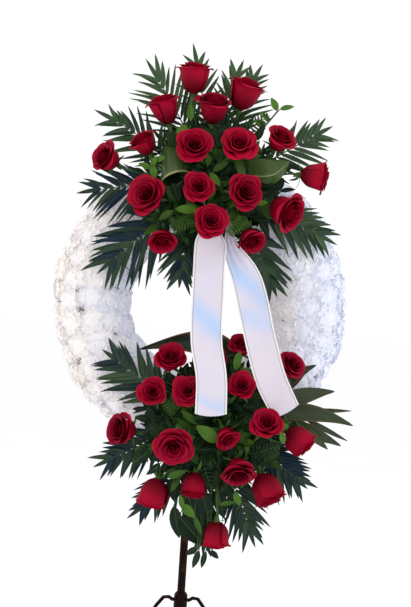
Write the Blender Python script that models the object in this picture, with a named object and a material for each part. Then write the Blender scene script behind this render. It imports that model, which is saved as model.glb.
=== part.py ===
"""Funeral wreath: a ring of white carnations with two sprays of red roses and palm,
two satin ribbon tails, and the metal tripod stand that it hangs on.

Metres, +Z up. The front of the wreath faces -Y. Places on the wreath are measured
from the centre of the ring: across (+X), out towards the front (-Y) and up (+Z).
"""

import math
import random

import bmesh
import bpy
from mathutils import Matrix, Vector

# Where the ring hangs, and the shift that puts the middle of the whole object on the origin
RING_HEIGHT = 1.000
MIDDLE_X = 0.011
MIDDLE_Y = 0.022

# Ring
RING_RADIUS = 0.260
CARNATION_TUBE = 0.097
RING_BACK = 0.050
CORE_HALF_WIDTH = 0.068
CORE_FRONT = 0.070
CORE_STEPS = 32
HEADS_ROUND = 21
HEAD_ROWS = 5
CELLS_ACROSS = 4
CELLS_DOWN = 3
CARNATION_DEPTH = 0.017
RUFFLE = 0.0025
GAP = 0.0003

# Floral foam blocks on the front of the ring: middle across and up, half sizes
FOAM_BACK = 0.088
FOAM_FRONT = 0.150
FOAM_HALF_WIDTH = 0.080
FOAM_HALF_HEIGHT = 0.064
UPPER_FOAM = (0.010, 0.270)
LOWER_FOAM = (0.050, -0.275)
STEM_RADIUS = 0.0026
STEM_START = 0.036
STEM_START_DEPTH = 0.136
NECK = 0.030

# Palm fronds
LEAFLET_THICK = 0.0009
LEAFLET_SWELL = 0.008
LEAFLET_ROOM = 0.40
RIB_HALF_WIDTH = 0.0028
SHEATH_RADIUS = 0.004

# Ribbon tails, from the pinned fold down: across, out, up and width
RIBBON_THICK = 0.0009
RIBBON_LEFT = [
    (0.030, 0.1504, 0.226, 0.016),
    (0.029, 0.172, 0.212, 0.020),
    (0.022, 0.198, 0.168, 0.034),
    (0.016, 0.208, 0.135, 0.072),
    (0.017, 0.220, 0.030, 0.074),
    (0.020, 0.236, -0.080, 0.070),
    (0.036, 0.252, -0.160, 0.068),
    (0.040, 0.252, -0.240, 0.070),
]
RIBBON_RIGHT = [
    (0.052, 0.1504, 0.228, 0.014),
    (0.054, 0.170, 0.210, 0.014),
    (0.056, 0.190, 0.168, 0.016),
    (0.063, 0.198, 0.130, 0.036),
    (0.104, 0.206, 0.055, 0.068),
    (0.141, 0.212, -0.073, 0.070),
    (0.170, 0.214, -0.159, 0.070),
    (0.208, 0.206, -0.228, 0.066),
]

# Stand
POST_RADIUS = 0.010
PLATE_THICK = 0.005
POST_Y = RING_BACK + PLATE_THICK + 2 * GAP + POST_RADIUS
POST_TOP = 1.330
HOOK_TOP = 0.158
HUB_TOP = 0.272
HUB_BOTTOM = 0.206
HUB_RADIUS = 0.017
LEG_RADIUS = 0.0045
FOOT_RADIUS = 0.015
FOOT_HEIGHT = 0.006
FRONT_LEG_ANGLE = math.radians(45)
FRONT_LEG_REACH = 0.320
BACK_LEG_REACH = 0.260

# Roses: across, out, up from the ring's centre, width of the head, lean of its face
# in the plane of the ring (0 up, 90 to the right) and how far it turns to the front
UPPER_ROSES = [
    (-0.045, 0.172, 0.515, 0.074, 0, 10),
    (0.072, 0.174, 0.486, 0.078, 15, 15),
    (-0.108, 0.172, 0.440, 0.072, -20, 15),
    (0.002, 0.188, 0.444, 0.070, 5, 30),
    (-0.150, 0.174, 0.356, 0.054, -35, 25),
    (-0.230, 0.174, 0.314, 0.072, -70, 30),
    (-0.034, 0.245, 0.344, 0.078, 0, 78),
    (0.062, 0.235, 0.352, 0.078, 10, 65),
    (0.156, 0.188, 0.380, 0.068, 30, 45),
    (0.246, 0.172, 0.306, 0.068, 92, 5),
    (-0.128, 0.215, 0.231, 0.086, -65, 68),
    (-0.018, 0.265, 0.252, 0.068, -20, 78),
    (0.080, 0.245, 0.248, 0.079, 60, 70),
    (0.180, 0.192, 0.222, 0.077, 120, 38),
    (0.010, 0.250, 0.181, 0.074, 60, 75),
    (-0.092, 0.190, 0.139, 0.064, 180, 48),
    (0.106, 0.186, 0.154, 0.066, 150, 40),
]
LOWER_ROSES = [
    (-0.057, 0.180, -0.131, 0.070, 0, 50),
    (-0.092, 0.198, -0.207, 0.064, -30, 72),
    (-0.013, 0.205, -0.200, 0.070, -20, 70),
    (0.031, 0.180, -0.126, 0.070, 0, 50),
    (0.100, 0.172, -0.092, 0.060, 0, 40),
    (0.104, 0.215, -0.179, 0.062, 0, 65),
    (0.213, 0.172, -0.130, 0.066, 45, 45),
    (-0.154, 0.174, -0.298, 0.076, -100, 30),
    (-0.037, 0.245, -0.312, 0.084, 180, 72),
    (0.078, 0.225, -0.291, 0.058, 150, 45),
    (0.165, 0.240, -0.258, 0.070, -10, 55),
    (0.248, 0.172, -0.296, 0.070, 125, 10),
    (0.109, 0.215, -0.366, 0.074, 170, 45),
    (-0.079, 0.172, -0.441, 0.073, -165, 5),
    (0.015, 0.188, -0.413, 0.060, 180, 20),
    (0.181, 0.174, -0.415, 0.077, 152, 15),
    (0.072, 0.172, -0.526, 0.064, 178, 5),
]

# Profile of a rose head, outside to inside: radius, height, how deep its petal edges
# are scalloped, and which half of the petals stands out
ROSE_PETALS = 5
ROSE_HEIGHT = 1.55
ROSE_PROFILE = [
    (0.20, 0.00, 0.00, 0),
    (0.76, 0.26, 0.05, 0),
    (0.97, 0.80, 0.12, 0),
    (0.72, 0.66, 0.03, 0),
    (0.66, 0.98, 0.11, 1),
    (0.42, 0.80, 0.03, 1),
    (0.34, 1.06, 0.09, 0),
]
ROSE_EYE = 0.94

# Palm fronds of each node: root, middle and tip, each as across and up, then the
# depth at the root, middle and tip, the leaflet length and the pairs of leaflets
FRONDS = {
    "palm_upper_top": [
        ((-0.020, 0.3366), (-0.080, 0.438), (-0.152, 0.548), (0.112, 0.114, 0.100), 0.112, 8),
        ((0.006, 0.3368), (-0.020, 0.462), (-0.050, 0.588), (0.112, 0.112, 0.100), 0.080, 7),
        ((0.032, 0.3366), (0.060, 0.448), (0.105, 0.552), (0.112, 0.114, 0.100), 0.085, 7),
    ],
    "palm_upper_left": [
        ((-0.0718, 0.296), (-0.150, 0.366), (-0.258, 0.424), (0.122, 0.131, 0.120), 0.085, 8),
        ((-0.0722, 0.262), (-0.172, 0.262), (-0.288, 0.242), (0.122, 0.112, 0.100), 0.095, 8),
    ],
    "palm_upper_low_left": [
        ((-0.060, 0.2085), (-0.142, 0.148), (-0.230, 0.066), (0.122, 0.128, 0.112), 0.110, 9),
        ((-0.020, 0.2045), (-0.040, 0.130), (-0.048, 0.046), (0.122, 0.124, 0.112), 0.075, 7),
    ],
    "palm_upper_low_right": [
        ((0.0801, 0.2041), (0.128, 0.126), (0.172, 0.040), (0.122, 0.126, 0.112), 0.082, 8),
        ((0.0946, 0.2266), (0.190, 0.206), (0.296, 0.164), (0.122, 0.112, 0.100), 0.090, 8),
    ],
    "palm_upper_right": [
        ((0.0858, 0.306), (0.178, 0.366), (0.268, 0.424), (0.114, 0.124, 0.110), 0.085, 8),
    ],
    "palm_lower_left": [
        ((-0.0320, -0.252), (-0.118, -0.188), (-0.206, -0.132), (0.122, 0.126, 0.112), 0.098, 8),
        ((-0.0320, -0.298), (-0.116, -0.340), (-0.210, -0.392), (0.122, 0.110, 0.100), 0.080, 7),
    ],
    "palm_lower_bottom": [
        ((0.012, -0.3405), (-0.048, -0.420), (-0.126, -0.500), (0.114, 0.118, 0.108), 0.070, 6),
        ((0.046, -0.3413), (0.044, -0.460), (0.046, -0.570), (0.114, 0.124, 0.110), 0.070, 7),
        ((0.080, -0.3408), (0.118, -0.440), (0.160, -0.545), (0.114, 0.116, 0.106), 0.080, 8),
    ],
    "palm_lower_right": [
        ((0.1272, -0.304), (0.196, -0.352), (0.268, -0.408), (0.112, 0.120, 0.108), 0.080, 7),
    ],
}

# The small leaves on the stems stay in front of the palm
LEAF_BACK = 0.138

# Bent leaves among the upper roses: the middle of the loop, and the line of the fold
LOOP_MIDDLE = Vector((-0.076, -0.185, 0.306))
LOOP_RADIUS = 0.024
LOOP_STALK = [(-0.046, 0.1504, 0.303), (-0.046, 0.157, 0.303), (-0.052, 0.168, 0.305), (-0.0625, 0.177, 0.3065)]
STALK_RADIUS = 0.0022
FOLD_LINE = [
    (0.062, 0.1512, 0.300),
    (0.100, 0.184, 0.318),
    (0.135, 0.200, 0.322),
    (0.166, 0.204, 0.308),
    (0.190, 0.198, 0.286),
]

# Broad leaves at the lower right: root, middle and tip, depths and half width
BROAD_LEAVES = [
    ((0.1286, -0.262), (0.250, -0.236), (0.376, -0.262), (0.118, 0.124, 0.112), 0.019),
    ((0.1286, -0.258), (0.236, -0.206), (0.330, -0.186), (0.118, 0.112, 0.100), 0.018),
    ((0.1286, -0.254), (0.200, -0.176), (0.282, -0.126), (0.118, 0.120, 0.108), 0.017),
    ((0.1286, -0.267), (0.246, -0.276), (0.352, -0.312), (0.118, 0.116, 0.106), 0.018),
]


# The long leaf along the bottom of the hole, from the foam to its tip on the left
LONG_LEAF = ((0.095, -0.2150), (0.046, -0.100), (-0.138, -0.118), (0.108, 0.098, 0.092), 0.031)


def finish(name, colour, roughness, metallic=0.0):
    """A plain material with the part's own colour."""
    material = bpy.data.materials.new(name)
    material.use_nodes = True
    shader = material.node_tree.nodes["Principled BSDF"]
    shader.inputs["Base Color"].default_value = (*colour, 1.0)
    shader.inputs["Roughness"].default_value = roughness
    shader.inputs["Metallic"].default_value = metallic
    return material


def closed_object(name, vertices, faces, material, parent):
    """A mesh object with every face turned outwards."""
    mesh = bpy.data.meshes.new(name)
    mesh.from_pydata([tuple(point) for point in vertices], [], faces)
    shape = bmesh.new()
    shape.from_mesh(mesh)
    bmesh.ops.recalc_face_normals(shape, faces=shape.faces)
    if shape.calc_volume(signed=True) < 0:
        bmesh.ops.reverse_faces(shape, faces=shape.faces)
    shape.to_mesh(mesh)
    shape.free()
    mesh.materials.append(material)
    obj = bpy.data.objects.new(name, mesh)
    obj.parent = parent
    bpy.context.scene.collection.objects.link(obj)
    return obj


def smooth(obj, angle=40):
    """Smooth shading on a round piece, with its real corners kept."""
    obj.data.shade_smooth()
    obj.data.set_sharp_from_angle(angle=math.radians(angle))


def loft(rings, tip=None, joined=False):
    """A skin through rings of points: capped at its ends, brought to a tip, or closed on itself."""
    count = len(rings[0])
    vertices = [point for ring in rings for point in ring]
    faces = []
    for r in range(len(rings) - (0 if joined else 1)):
        a = r * count
        b = (r + 1) % len(rings) * count
        for i in range(count):
            j = (i + 1) % count
            faces.append((a + i, a + j, b + j, b + i))
    if joined:
        return vertices, faces
    faces.append(tuple(range(count)))
    last = (len(rings) - 1) * count
    if tip is None:
        faces.append(tuple(last + i for i in range(count)))
        return vertices, faces
    vertices.append(tip)
    for i in range(count):
        faces.append((last + i, last + (i + 1) % count, len(vertices) - 1))
    return vertices, faces


def frame_along(direction):
    """Two directions square to this one and to each other."""
    across = direction.cross(Vector((0, 0, 1)))
    if across.length < 0.2:
        across = direction.cross(Vector((0, 1, 0)))
    across.normalize()
    return across, direction.cross(across).normalized()


def tube(path, radii, sides):
    """Vertices and faces of a round bar along a path, turning with it and not twisting."""
    side, up = frame_along((path[1] - path[0]).normalized())
    rings = []
    for i, point in enumerate(path):
        before = path[max(i - 1, 0)]
        after = path[min(i + 1, len(path) - 1)]
        ahead = (after - before).normalized()
        side = (side - ahead * side.dot(ahead)).normalized()
        up = ahead.cross(side)
        ring = []
        for k in range(sides):
            turn = math.tau * k / sides
            ring.append(point + radii[i] * (side * math.cos(turn) + up * math.sin(turn)))
        rings.append(ring)
    return loft(rings)


def curve_through(points, steps):
    """Points of a smooth curve that passes through the given ones."""
    ends = [2 * points[0] - points[1]] + points + [2 * points[-1] - points[-2]]
    line = []
    for i in range(1, len(ends) - 2):
        p, q, r, s = ends[i - 1 : i + 3]
        for k in range(steps):
            t = k / steps
            line.append(0.5 * (2 * q + (r - p) * t + (2 * p - 5 * q + 4 * r - s) * t**2
                               + (3 * q - p - 3 * r + s) * t**3))
    return line + [points[-1]]


def slab(vertices, faces, thickness):
    """A thin sheet made solid: the same faces in front and behind, with walls round the edge."""
    count = len(vertices)
    back = [point + thickness for point in vertices]
    walls = {}
    for face in faces:
        for a, b in zip(face, face[1:] + face[:1]):
            if (b, a) in walls:
                del walls[(b, a)]
            else:
                walls[(a, b)] = (b, a, a + count, b + count)
    solid = list(faces) + [tuple(reversed([i + count for i in face])) for face in faces]
    return vertices + back, solid + list(walls.values())


def fuse(name, pieces, material, parent):
    """One body from pieces that run into each other, with any loose scrap dropped."""
    group = bpy.data.collections.new(name + "_pieces")
    bpy.context.scene.collection.children.link(group)
    for piece in pieces[1:]:
        group.objects.link(piece)
    join = pieces[0].modifiers.new("join", "BOOLEAN")
    join.operation = "UNION"
    join.operand_type = "COLLECTION"
    join.collection = group
    join.solver = "MANIFOLD"
    bpy.context.view_layer.update()
    graph = bpy.context.evaluated_depsgraph_get()
    mesh = bpy.data.meshes.new_from_object(pieces[0].evaluated_get(graph))
    for piece in pieces:
        bpy.data.objects.remove(piece)
    bpy.data.collections.remove(group)
    keep_largest_body(mesh)
    mesh.name = name
    mesh.materials.clear()
    mesh.materials.append(material)
    obj = bpy.data.objects.new(name, mesh)
    obj.parent = parent
    bpy.context.scene.collection.objects.link(obj)
    return obj


def keep_largest_body(mesh):
    """Removes every loose piece of a mesh but the one with the most vertices."""
    shape = bmesh.new()
    shape.from_mesh(mesh)
    left = set(shape.verts)
    bodies = []
    while left:
        body = {left.pop()}
        edge = list(body)
        while edge:
            vert = edge.pop()
            fresh = {link.other_vert(vert) for link in vert.link_edges} & left
            left -= fresh
            body |= fresh
            edge.extend(fresh)
        bodies.append(body)
    bodies.sort(key=len)
    loose = [vert for body in bodies[:-1] for vert in body]
    bmesh.ops.delete(shape, geom=loose, context="VERTS")
    shape.to_mesh(mesh)
    shape.free()


def on_ring(turn, outwards, front):
    """A point of the ring: its turn, then how far it lies outwards and in front of the tube's middle line."""
    radius = RING_RADIUS + outwards
    return Vector((radius * math.sin(turn), -front, radius * math.cos(turn)))


def face_direction(lean, forward):
    """The way a rose faces."""
    lean = math.radians(lean)
    forward = math.radians(forward)
    flat = math.cos(forward)
    return Vector((math.sin(lean) * flat, -math.sin(forward), math.cos(lean) * flat))


def tube_point(turn, across, radius):
    return on_ring(turn, radius * math.cos(across), radius * math.sin(across))


def under_foam(point):
    """Whether a point of the flowers lies behind one of the foam blocks."""
    for x, z in (UPPER_FOAM, LOWER_FOAM):
        if abs(point.x - x) < FOAM_HALF_WIDTH + 0.03 and abs(point.z - z) < FOAM_HALF_HEIGHT + 0.03:
            return True
    return False


def frill(column, row):
    """How far a head stands out of the hollows between heads, from 0 to 1: heads in rows, like bricks."""
    head_row = row // CELLS_DOWN
    down = row % CELLS_DOWN
    across = (column + head_row % 2 * CELLS_ACROSS // 2) % CELLS_ACROSS
    if down == 0:
        return 0.35 if across == 0 else 0.45
    return (0.0, 0.85, 1.0, 0.85)[across]


def carnation_ring(material, parent):
    """The frilled heads as relief on a shell that lies over the core."""
    randomness = random.Random(4)
    first = math.asin(RING_BACK / CARNATION_TUBE)
    wide = CORE_HALF_WIDTH + 0.0023
    deep = CORE_FRONT + GAP
    inside = [(-wide, -RING_BACK), (-wide, 0.020), (-0.032, deep),
              (0.032, deep), (wide, 0.020), (wide, -RING_BACK)]
    columns = CELLS_ACROSS * HEADS_ROUND
    rows = CELLS_DOWN * HEAD_ROWS
    rings = []
    for column in range(columns):
        turn = math.tau * column / columns
        ring = []
        for row in range(rows + 1):
            across = -first + (math.pi + 2 * first) * row / rows
            height = CARNATION_TUBE - CARNATION_DEPTH * (1 - frill(column, row))
            height += randomness.uniform(-RUFFLE, RUFFLE)
            sway = randomness.uniform(-0.012, 0.012)
            if row in (0, rows):
                height = CARNATION_TUBE - 0.004
            point = tube_point(turn + sway, across, height)
            if under_foam(point):
                point.y = max(point.y, -FOAM_BACK + 0.0005)
            ring.append(point)
        ring += [on_ring(turn, outwards, front) for outwards, front in inside]
        rings.append(ring)
    return closed_object("carnation_ring", *loft(rings, joined=True), material, parent)


def ring_core(material, parent):
    """The foam ring that the carnations are set in, flat at the back."""
    wide = CORE_HALF_WIDTH
    section = [(wide, -RING_BACK), (wide, 0.018), (0.030, CORE_FRONT), (-0.030, CORE_FRONT),
               (-wide, 0.018), (-wide, -RING_BACK)]
    rings = []
    for step in range(CORE_STEPS):
        turn = math.tau * step / CORE_STEPS
        rings.append([on_ring(turn, outwards, front) for outwards, front in section])
    return closed_object("ring_core", *loft(rings, joined=True), material, parent)


def foam_block(middle, material, parent):
    """The block of wet foam that a spray is stuck into, with rounded corners."""
    levels = [(FOAM_BACK + GAP, 0.90), (FOAM_BACK + 0.012, 1.0),
              (FOAM_FRONT - 0.012, 1.0), (FOAM_FRONT, 0.86)]
    rings = []
    for depth, size in levels:
        ring = []
        for k in range(12):
            turn = math.tau * (k + 0.5) / 12
            corner = 1.25 if k % 3 == 1 else 1.0
            x = middle[0] + FOAM_HALF_WIDTH * size * corner * math.cos(turn)
            z = middle[1] + FOAM_HALF_HEIGHT * size * corner * math.sin(turn)
            ring.append(Vector((x, -depth, z)))
        rings.append(ring)
    return closed_object("foam", *loft(rings), material, parent)


def rose_place(row):
    """Middle of the head, its size and the way it faces."""
    across, out, up, width, lean, forward = row
    return Vector((across, -out, up)), width / 2, face_direction(lean, forward)


def rose_base(row):
    middle, radius, axis = rose_place(row)
    return middle - axis * radius * ROSE_HEIGHT / 2


def rose_head(name, row, spin, material, parent):
    """Petals in layers round a bud: each layer's edge is scalloped and stands above the hollow inside it."""
    middle, radius, axis = rose_place(row)
    side, up = frame_along(axis)
    base = rose_base(row) + axis * GAP
    rings = []
    for out, height, scallop, shift in ROSE_PROFILE:
        ring = []
        for k in range(2 * ROSE_PETALS):
            wave = 1 if (k + shift) % 2 == 0 else -1
            turn = math.tau * k / (2 * ROSE_PETALS) + spin + 0.35 * height
            reach = radius * (out + scallop * wave)
            rise = radius * ROSE_HEIGHT * (height - 0.35 * scallop * wave)
            if height == 0:
                rise = 0
            ring.append(base + axis * rise + reach * (side * math.cos(turn) + up * math.sin(turn)))
        rings.append(ring)
    tip = base + axis * radius * ROSE_HEIGHT * ROSE_EYE
    return closed_object(name, *loft(rings, tip=tip), material, parent)


def stem_path(row, middle):
    """A stem from inside the foam to the base of its rose, straight under the head."""
    base = rose_base(row)
    _, _, axis = rose_place(row)
    neck = base - axis * NECK
    away = Vector((neck.x - middle[0], 0, neck.z - middle[1]))
    start = Vector((middle[0], -STEM_START_DEPTH, middle[1]))
    start += away.normalized() * min(STEM_START, away.length * 0.5)
    return [start, neck, base - axis * 0.010]


def calyx(row, material, parent):
    """The green cup under a rose, with five sepals bent back."""
    base = rose_base(row)
    _, radius, axis = rose_place(row)
    side, up = frame_along(axis)
    levels = [(0.20 * radius, 0.20 * radius, 0.0), (0.62 * radius, 0.24 * radius, -0.007),
              (0.0042, 0.0042, -0.012)]
    rings = []
    for tips, notches, along in levels:
        ring = []
        for k in range(2 * ROSE_PETALS):
            turn = math.tau * k / (2 * ROSE_PETALS)
            reach = notches if k % 2 else tips
            ring.append(base + axis * along + reach * (side * math.cos(turn) + up * math.sin(turn)))
        rings.append(ring)
    return closed_object("calyx", *loft(rings), material, parent)


def rose_stem(row, middle, material, parent):
    """A stem from the foam to its rose: it swells to a cup, or ends inside a calyx with sepals."""
    path = stem_path(row, middle)
    radii = [STEM_RADIUS] * len(path)
    if hides_sepals(row):
        base = rose_base(row)
        _, radius, axis = rose_place(row)
        path[-1] = base - axis * 0.014
        path += [base - axis * 0.006, base]
        radii += [0.0065, 0.20 * radius]
    return closed_object("stem", *tube(path, radii, 5), material, parent)


def hides_sepals(row):
    """Whether a head faces the front so far that it covers its own sepals."""
    return row[5] > 35


def obstacles():
    """Balls round the blooms, the ribbon and the bent leaves, which small leaves keep clear of."""
    balls = []
    for row in UPPER_ROSES + LOWER_ROSES:
        middle, radius, _ = rose_place(row)
        balls.append((middle, radius * 1.12 + 0.002))
    for tail in (RIBBON_LEFT, RIBBON_RIGHT):
        for row, after in zip(tail, tail[1:]):
            for t in (0.0, 0.33, 0.66):
                across, out, up, width = (p * (1 - t) + q * t for p, q in zip(row, after))
                balls.append((Vector((across, -out, up)), width / 2 + 0.005))
    balls.append((LOOP_MIDDLE, LOOP_RADIUS + 0.024))
    for across, out, up in FOLD_LINE:
        balls.append((Vector((across, -out, up)), 0.028))
    for across, out, up in LOOP_STALK:
        balls.append((Vector((across, -out, up)), 0.008))
    return balls


def small_leaf(foot, way, face, size, material, parent):
    """A pointed oval leaf on a stem."""
    turn = way.cross(face).normalized()
    shoulder = foot + way * size * 0.42 + face * size * 0.06
    points = [foot, shoulder - turn * size * 0.24, foot + way * size, shoulder + turn * size * 0.24]
    faces = [(0, 1, 3), (1, 2, 3)]
    return closed_object("small_leaf", *slab(points, faces, face * LEAFLET_THICK), material, parent)


def stem_leaves(roses, middle, balls, randomness, material, parent):
    """Leaves along the rose stems, by a seeded rule, where they cross no bloom and no ribbon."""
    leaves = []
    for row in roses:
        start, neck = stem_path(row, middle)[:2]
        run = (neck - start).normalized()
        side, up = frame_along(run)
        for along in (0.55, 0.75, 0.95):
            foot = start.lerp(neck, along)
            turn = randomness.uniform(0, math.tau)
            size = randomness.uniform(0.040, 0.054)
            way = (run * 0.75 + side * math.cos(turn) + up * math.sin(turn)).normalized()
            face = (Vector((0, 1, 0)) - way * way.y).normalized()
            deepest = max(foot.y, (foot + way * size).y) + 0.004
            reach = [foot + way * size * part for part in (0.3, 0.6, 1.0)]
            crosses = any((point - ball).length < room for point in reach for ball, room in balls)
            if deepest > -LEAF_BACK or crosses or -foot.y < FOAM_FRONT and along < 0.6:
                continue
            leaves.append(small_leaf(foot, way, face, size, material, parent))
            balls.append((foot + way * size * 0.6, size * 0.36))
    return leaves


def spray_stems(name, middle, roses, balls, material, parent):
    """Foam, rose stems with their leaves and cups as one body: the stems stand in the foam."""
    randomness = random.Random(name)
    pieces = [foam_block(middle, material, parent)]
    for row in roses:
        pieces.append(rose_stem(row, middle, material, parent))
        if not hides_sepals(row):
            pieces.append(calyx(row, material, parent))
    pieces += stem_leaves(roses, middle, balls, randomness, material, parent)
    return fuse(name, pieces, material, parent)


def bend(root, middle, tip, t):
    """A point of the arc through three points, at t from 0 to 1."""
    return root * (1 - t) * (1 - 2 * t) + middle * 4 * t * (1 - t) + tip * t * (2 * t - 1)


def frond_points(row):
    """Root, middle and tip of a frond in space."""
    root, middle, tip, depths = row[:4]
    return [Vector((place[0], -depth, place[1])) for place, depth in zip((root, middle, tip), depths)]


def palm_frond(row, material, parent):
    """An arched rib with narrow leaflets cut to it on both sides."""
    root, middle, tip = frond_points(row)
    length, pairs = row[4:]
    last = 0.80
    rib = [bend(root, middle, tip, last * (0.16 + 0.84 * i / pairs)) for i in range(pairs + 1)]
    rib.insert(0, root)
    left = []
    right = []
    vertices = []
    faces = []
    for i, point in enumerate(rib):
        ahead = rib[min(i + 1, len(rib) - 1)] - rib[max(i - 1, 0)]
        across = Vector((-ahead.z, 0, ahead.x)).normalized()
        half = RIB_HALF_WIDTH * (1 - 0.6 * i / len(rib))
        left.append(len(vertices))
        vertices.append(point + across * half)
        right.append(len(vertices))
        vertices.append(point - across * half)
    for i in range(len(rib) - 1):
        faces.append((left[i], right[i], right[i + 1], left[i + 1]))
    for i in range(1, len(rib) - 1):
        along = (i - 0.5) / (len(rib) - 2)
        reach = length * (0.62 + 0.38 * math.sin(math.pi * min(along * 1.25, 1.0))) * (1 - 0.25 * along)
        ahead = (rib[i + 1] - rib[i]).normalized()
        across = Vector((-ahead.z, 0, ahead.x)).normalized()
        for sign, edge in ((1, left), (-1, right)):
            swing = math.radians(52 - 22 * along)
            way = ahead * math.cos(swing) + across * sign * math.sin(swing)
            turn = Vector((-way.z, 0, way.x)) * sign
            foot = vertices[edge[i]].lerp(vertices[edge[i + 1]], 0.42)
            room = LEAFLET_ROOM * (rib[i + 1] - rib[i]).length * math.sin(swing)
            swell = turn * min(LEAFLET_SWELL, room)
            add_leaflet(vertices, faces, edge[i], edge[i + 1], foot, way, swell, reach, sign)
    end = len(rib) - 1
    ahead = (tip - rib[-1]).normalized()
    vertices.append(tip)
    faces.append((left[end], right[end], len(vertices) - 1))
    return closed_object("frond", *slab(vertices, faces, Vector((0, LEAFLET_THICK, 0))), material, parent)


def add_leaflet(vertices, faces, low, high, foot, way, swell, reach, sign):
    """A narrow blade between two points of the rib, widest a third of the way out."""
    droop = Vector((0, 1, 0))
    shoulder = foot + way * reach * 0.38 + swell + droop * 0.001
    tip = foot + way * reach + droop * 0.006
    first = len(vertices)
    vertices.extend([shoulder, tip])
    blade = [(low, first, high), (high, first, first + 1)]
    for face in blade:
        faces.append(face if sign < 0 else face[::-1])


def sheath(roots, material, parent):
    """The short bars against the side of the foam that gather the roots of a node's fronds."""
    bars = []
    for first, last in zip(roots[:-1], roots[1:]):
        away = (last - first).normalized() * SHEATH_RADIUS
        line = [first - away, (first + last) / 2, last + away]
        bars.append(closed_object("sheath", *tube(line, [SHEATH_RADIUS] * 3, 5), material, parent))
    return bars


def palm_spray(name, rows, material, parent):
    """Fronds that share one sheath at the foam."""
    pieces = [palm_frond(row, material, parent) for row in rows]
    pieces += sheath([frond_points(row)[0] for row in rows], material, parent)
    if len(pieces) == 1:
        pieces[0].name = name
        return pieces[0]
    return fuse(name, pieces, material, parent)


def broad_leaf(row, material, parent):
    """A long pointed leaf with a folded midrib."""
    root, middle, tip = frond_points(row)
    half_width = row[4]
    steps = 7
    vertices = []
    faces = []
    for i in range(steps + 1):
        t = i / steps
        point = bend(root, middle, tip, t)
        ahead = bend(root, middle, tip, min(t + 0.05, 1.0)) - bend(root, middle, tip, max(t - 0.05, 0.0))
        across = Vector((-ahead.z, 0, ahead.x)).normalized()
        half = 0.0028 + half_width * max(math.sin(math.pi * (t - 0.12) / 0.88), 0.0) ** 0.8
        if i == steps:
            half = 0.0008
        fold = Vector((0, -0.12 * half, 0))
        vertices += [point + across * half + fold, point, point - across * half + fold]
    for i in range(steps):
        a = 3 * i
        faces += [(a, a + 1, a + 4), (a, a + 4, a + 3), (a + 1, a + 2, a + 5), (a + 1, a + 5, a + 4)]
    return closed_object("leaf", *slab(vertices, faces, Vector((0, LEAFLET_THICK, 0))), material, parent)


def broad_leaves(name, rows, material, parent):
    """Broad leaves that grow from one stem at the side of the foam."""
    return fuse(name, [broad_leaf(row, material, parent) for row in rows], material, parent)


def strip(name, line, material, parent, thickness):
    """A band through pairs of edge points, given a thickness square to its run."""
    vertices = []
    faces = []
    for left, right in line:
        vertices += [left, (left + right) / 2, right]
    offsets = []
    for i in range(len(line)):
        before = line[max(i - 1, 0)]
        after = line[min(i + 1, len(line) - 1)]
        run = (after[0] + after[1]) - (before[0] + before[1])
        out = run.cross(line[i][1] - line[i][0]).normalized()
        offsets += [out * thickness] * 3
    count = len(vertices)
    solid = vertices + [point + offset for point, offset in zip(vertices, offsets)]
    for i in range(len(line) - 1):
        for a in (3 * i, 3 * i + 1):
            quad = (a, a + 1, a + 4, a + 3)
            faces += [quad, tuple(reversed([k + count for k in quad]))]
        faces += [(3 * i, 3 * i + 3, 3 * i + 3 + count, 3 * i + count),
                  (3 * i + 5, 3 * i + 2, 3 * i + 2 + count, 3 * i + 5 + count)]
    last = count - 3
    for a, b in ((0, 1), (1, 2)):
        faces += [(a, b, b + count, a + count), (last + b, last + a, last + a + count, last + b + count)]
    return closed_object(name, solid, faces, material, parent)


def ribbon_tail(name, rows, material, parent):
    """A satin tail that runs from its pinned fold in the foam over the lower roses."""
    middles = curve_through([Vector((across, -out, up)) for across, out, up, _ in rows], 2)
    widths = curve_through([Vector((width, 0, 0)) for _, _, _, width in rows], 2)
    line = []
    for i, (middle, width) in enumerate(zip(middles, widths)):
        before = middles[max(i - 1, 0)]
        after = middles[min(i + 1, len(middles) - 1)]
        run = after - before
        side = Vector((-run.z, 0, run.x)).normalized()
        if side.x < 0.3:
            side = Vector((1, 0, 0))
        line.append((middle - side * width.x / 2, middle + side * width.x / 2))
    return strip(name, line, material, parent, RIBBON_THICK)


def rolled_leaf(material, parent):
    """A long leaf bent over into a loop among the upper roses, its stem in the foam."""
    axis = Vector((0.35, -0.90, -0.25)).normalized()
    side, up = frame_along(axis)
    line = []
    turns = 13
    for i in range(turns + 1):
        turn = math.radians(-60 + 330 * i / turns)
        radius = LOOP_RADIUS - 0.006 * i / turns
        middle = LOOP_MIDDLE + radius * (side * math.cos(turn) + up * math.sin(turn))
        half = 0.020 * (0.55 + 0.45 * math.sin(math.pi * i / turns))
        line.append((middle - axis * half, middle + axis * half))
    band = strip("leaf", line, material, parent, LEAFLET_THICK)
    path = [Vector((across, -out, up)) for across, out, up in LOOP_STALK]
    stalk = closed_object("stalk", *tube(path, [STALK_RADIUS] * len(path), 5), material, parent)
    return fuse("leaf_loop_upper", [band, stalk], material, parent)


def folded_leaf(material, parent):
    """A long leaf folded back on itself beside the upper right roses."""
    line = []
    middles = curve_through([Vector((x, -out, z)) for x, out, z in FOLD_LINE], 2)
    for i, middle in enumerate(middles):
        along = i / (len(middles) - 1)
        half = 0.004 + 0.016 * math.sin(math.pi * min(along * 1.1, 1.0))
        line.append((middle + Vector((0, 0, half)), middle - Vector((0, 0, half))))
    return strip("leaf_fold_upper", line, material, parent, LEAFLET_THICK)


def post(material, parent):
    path = [Vector((0, 0, HUB_TOP + GAP)), Vector((0, 0, POST_TOP))]
    obj = closed_object("post", *tube(path, [POST_RADIUS] * 2, 12), material, parent)
    smooth(obj)


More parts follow.
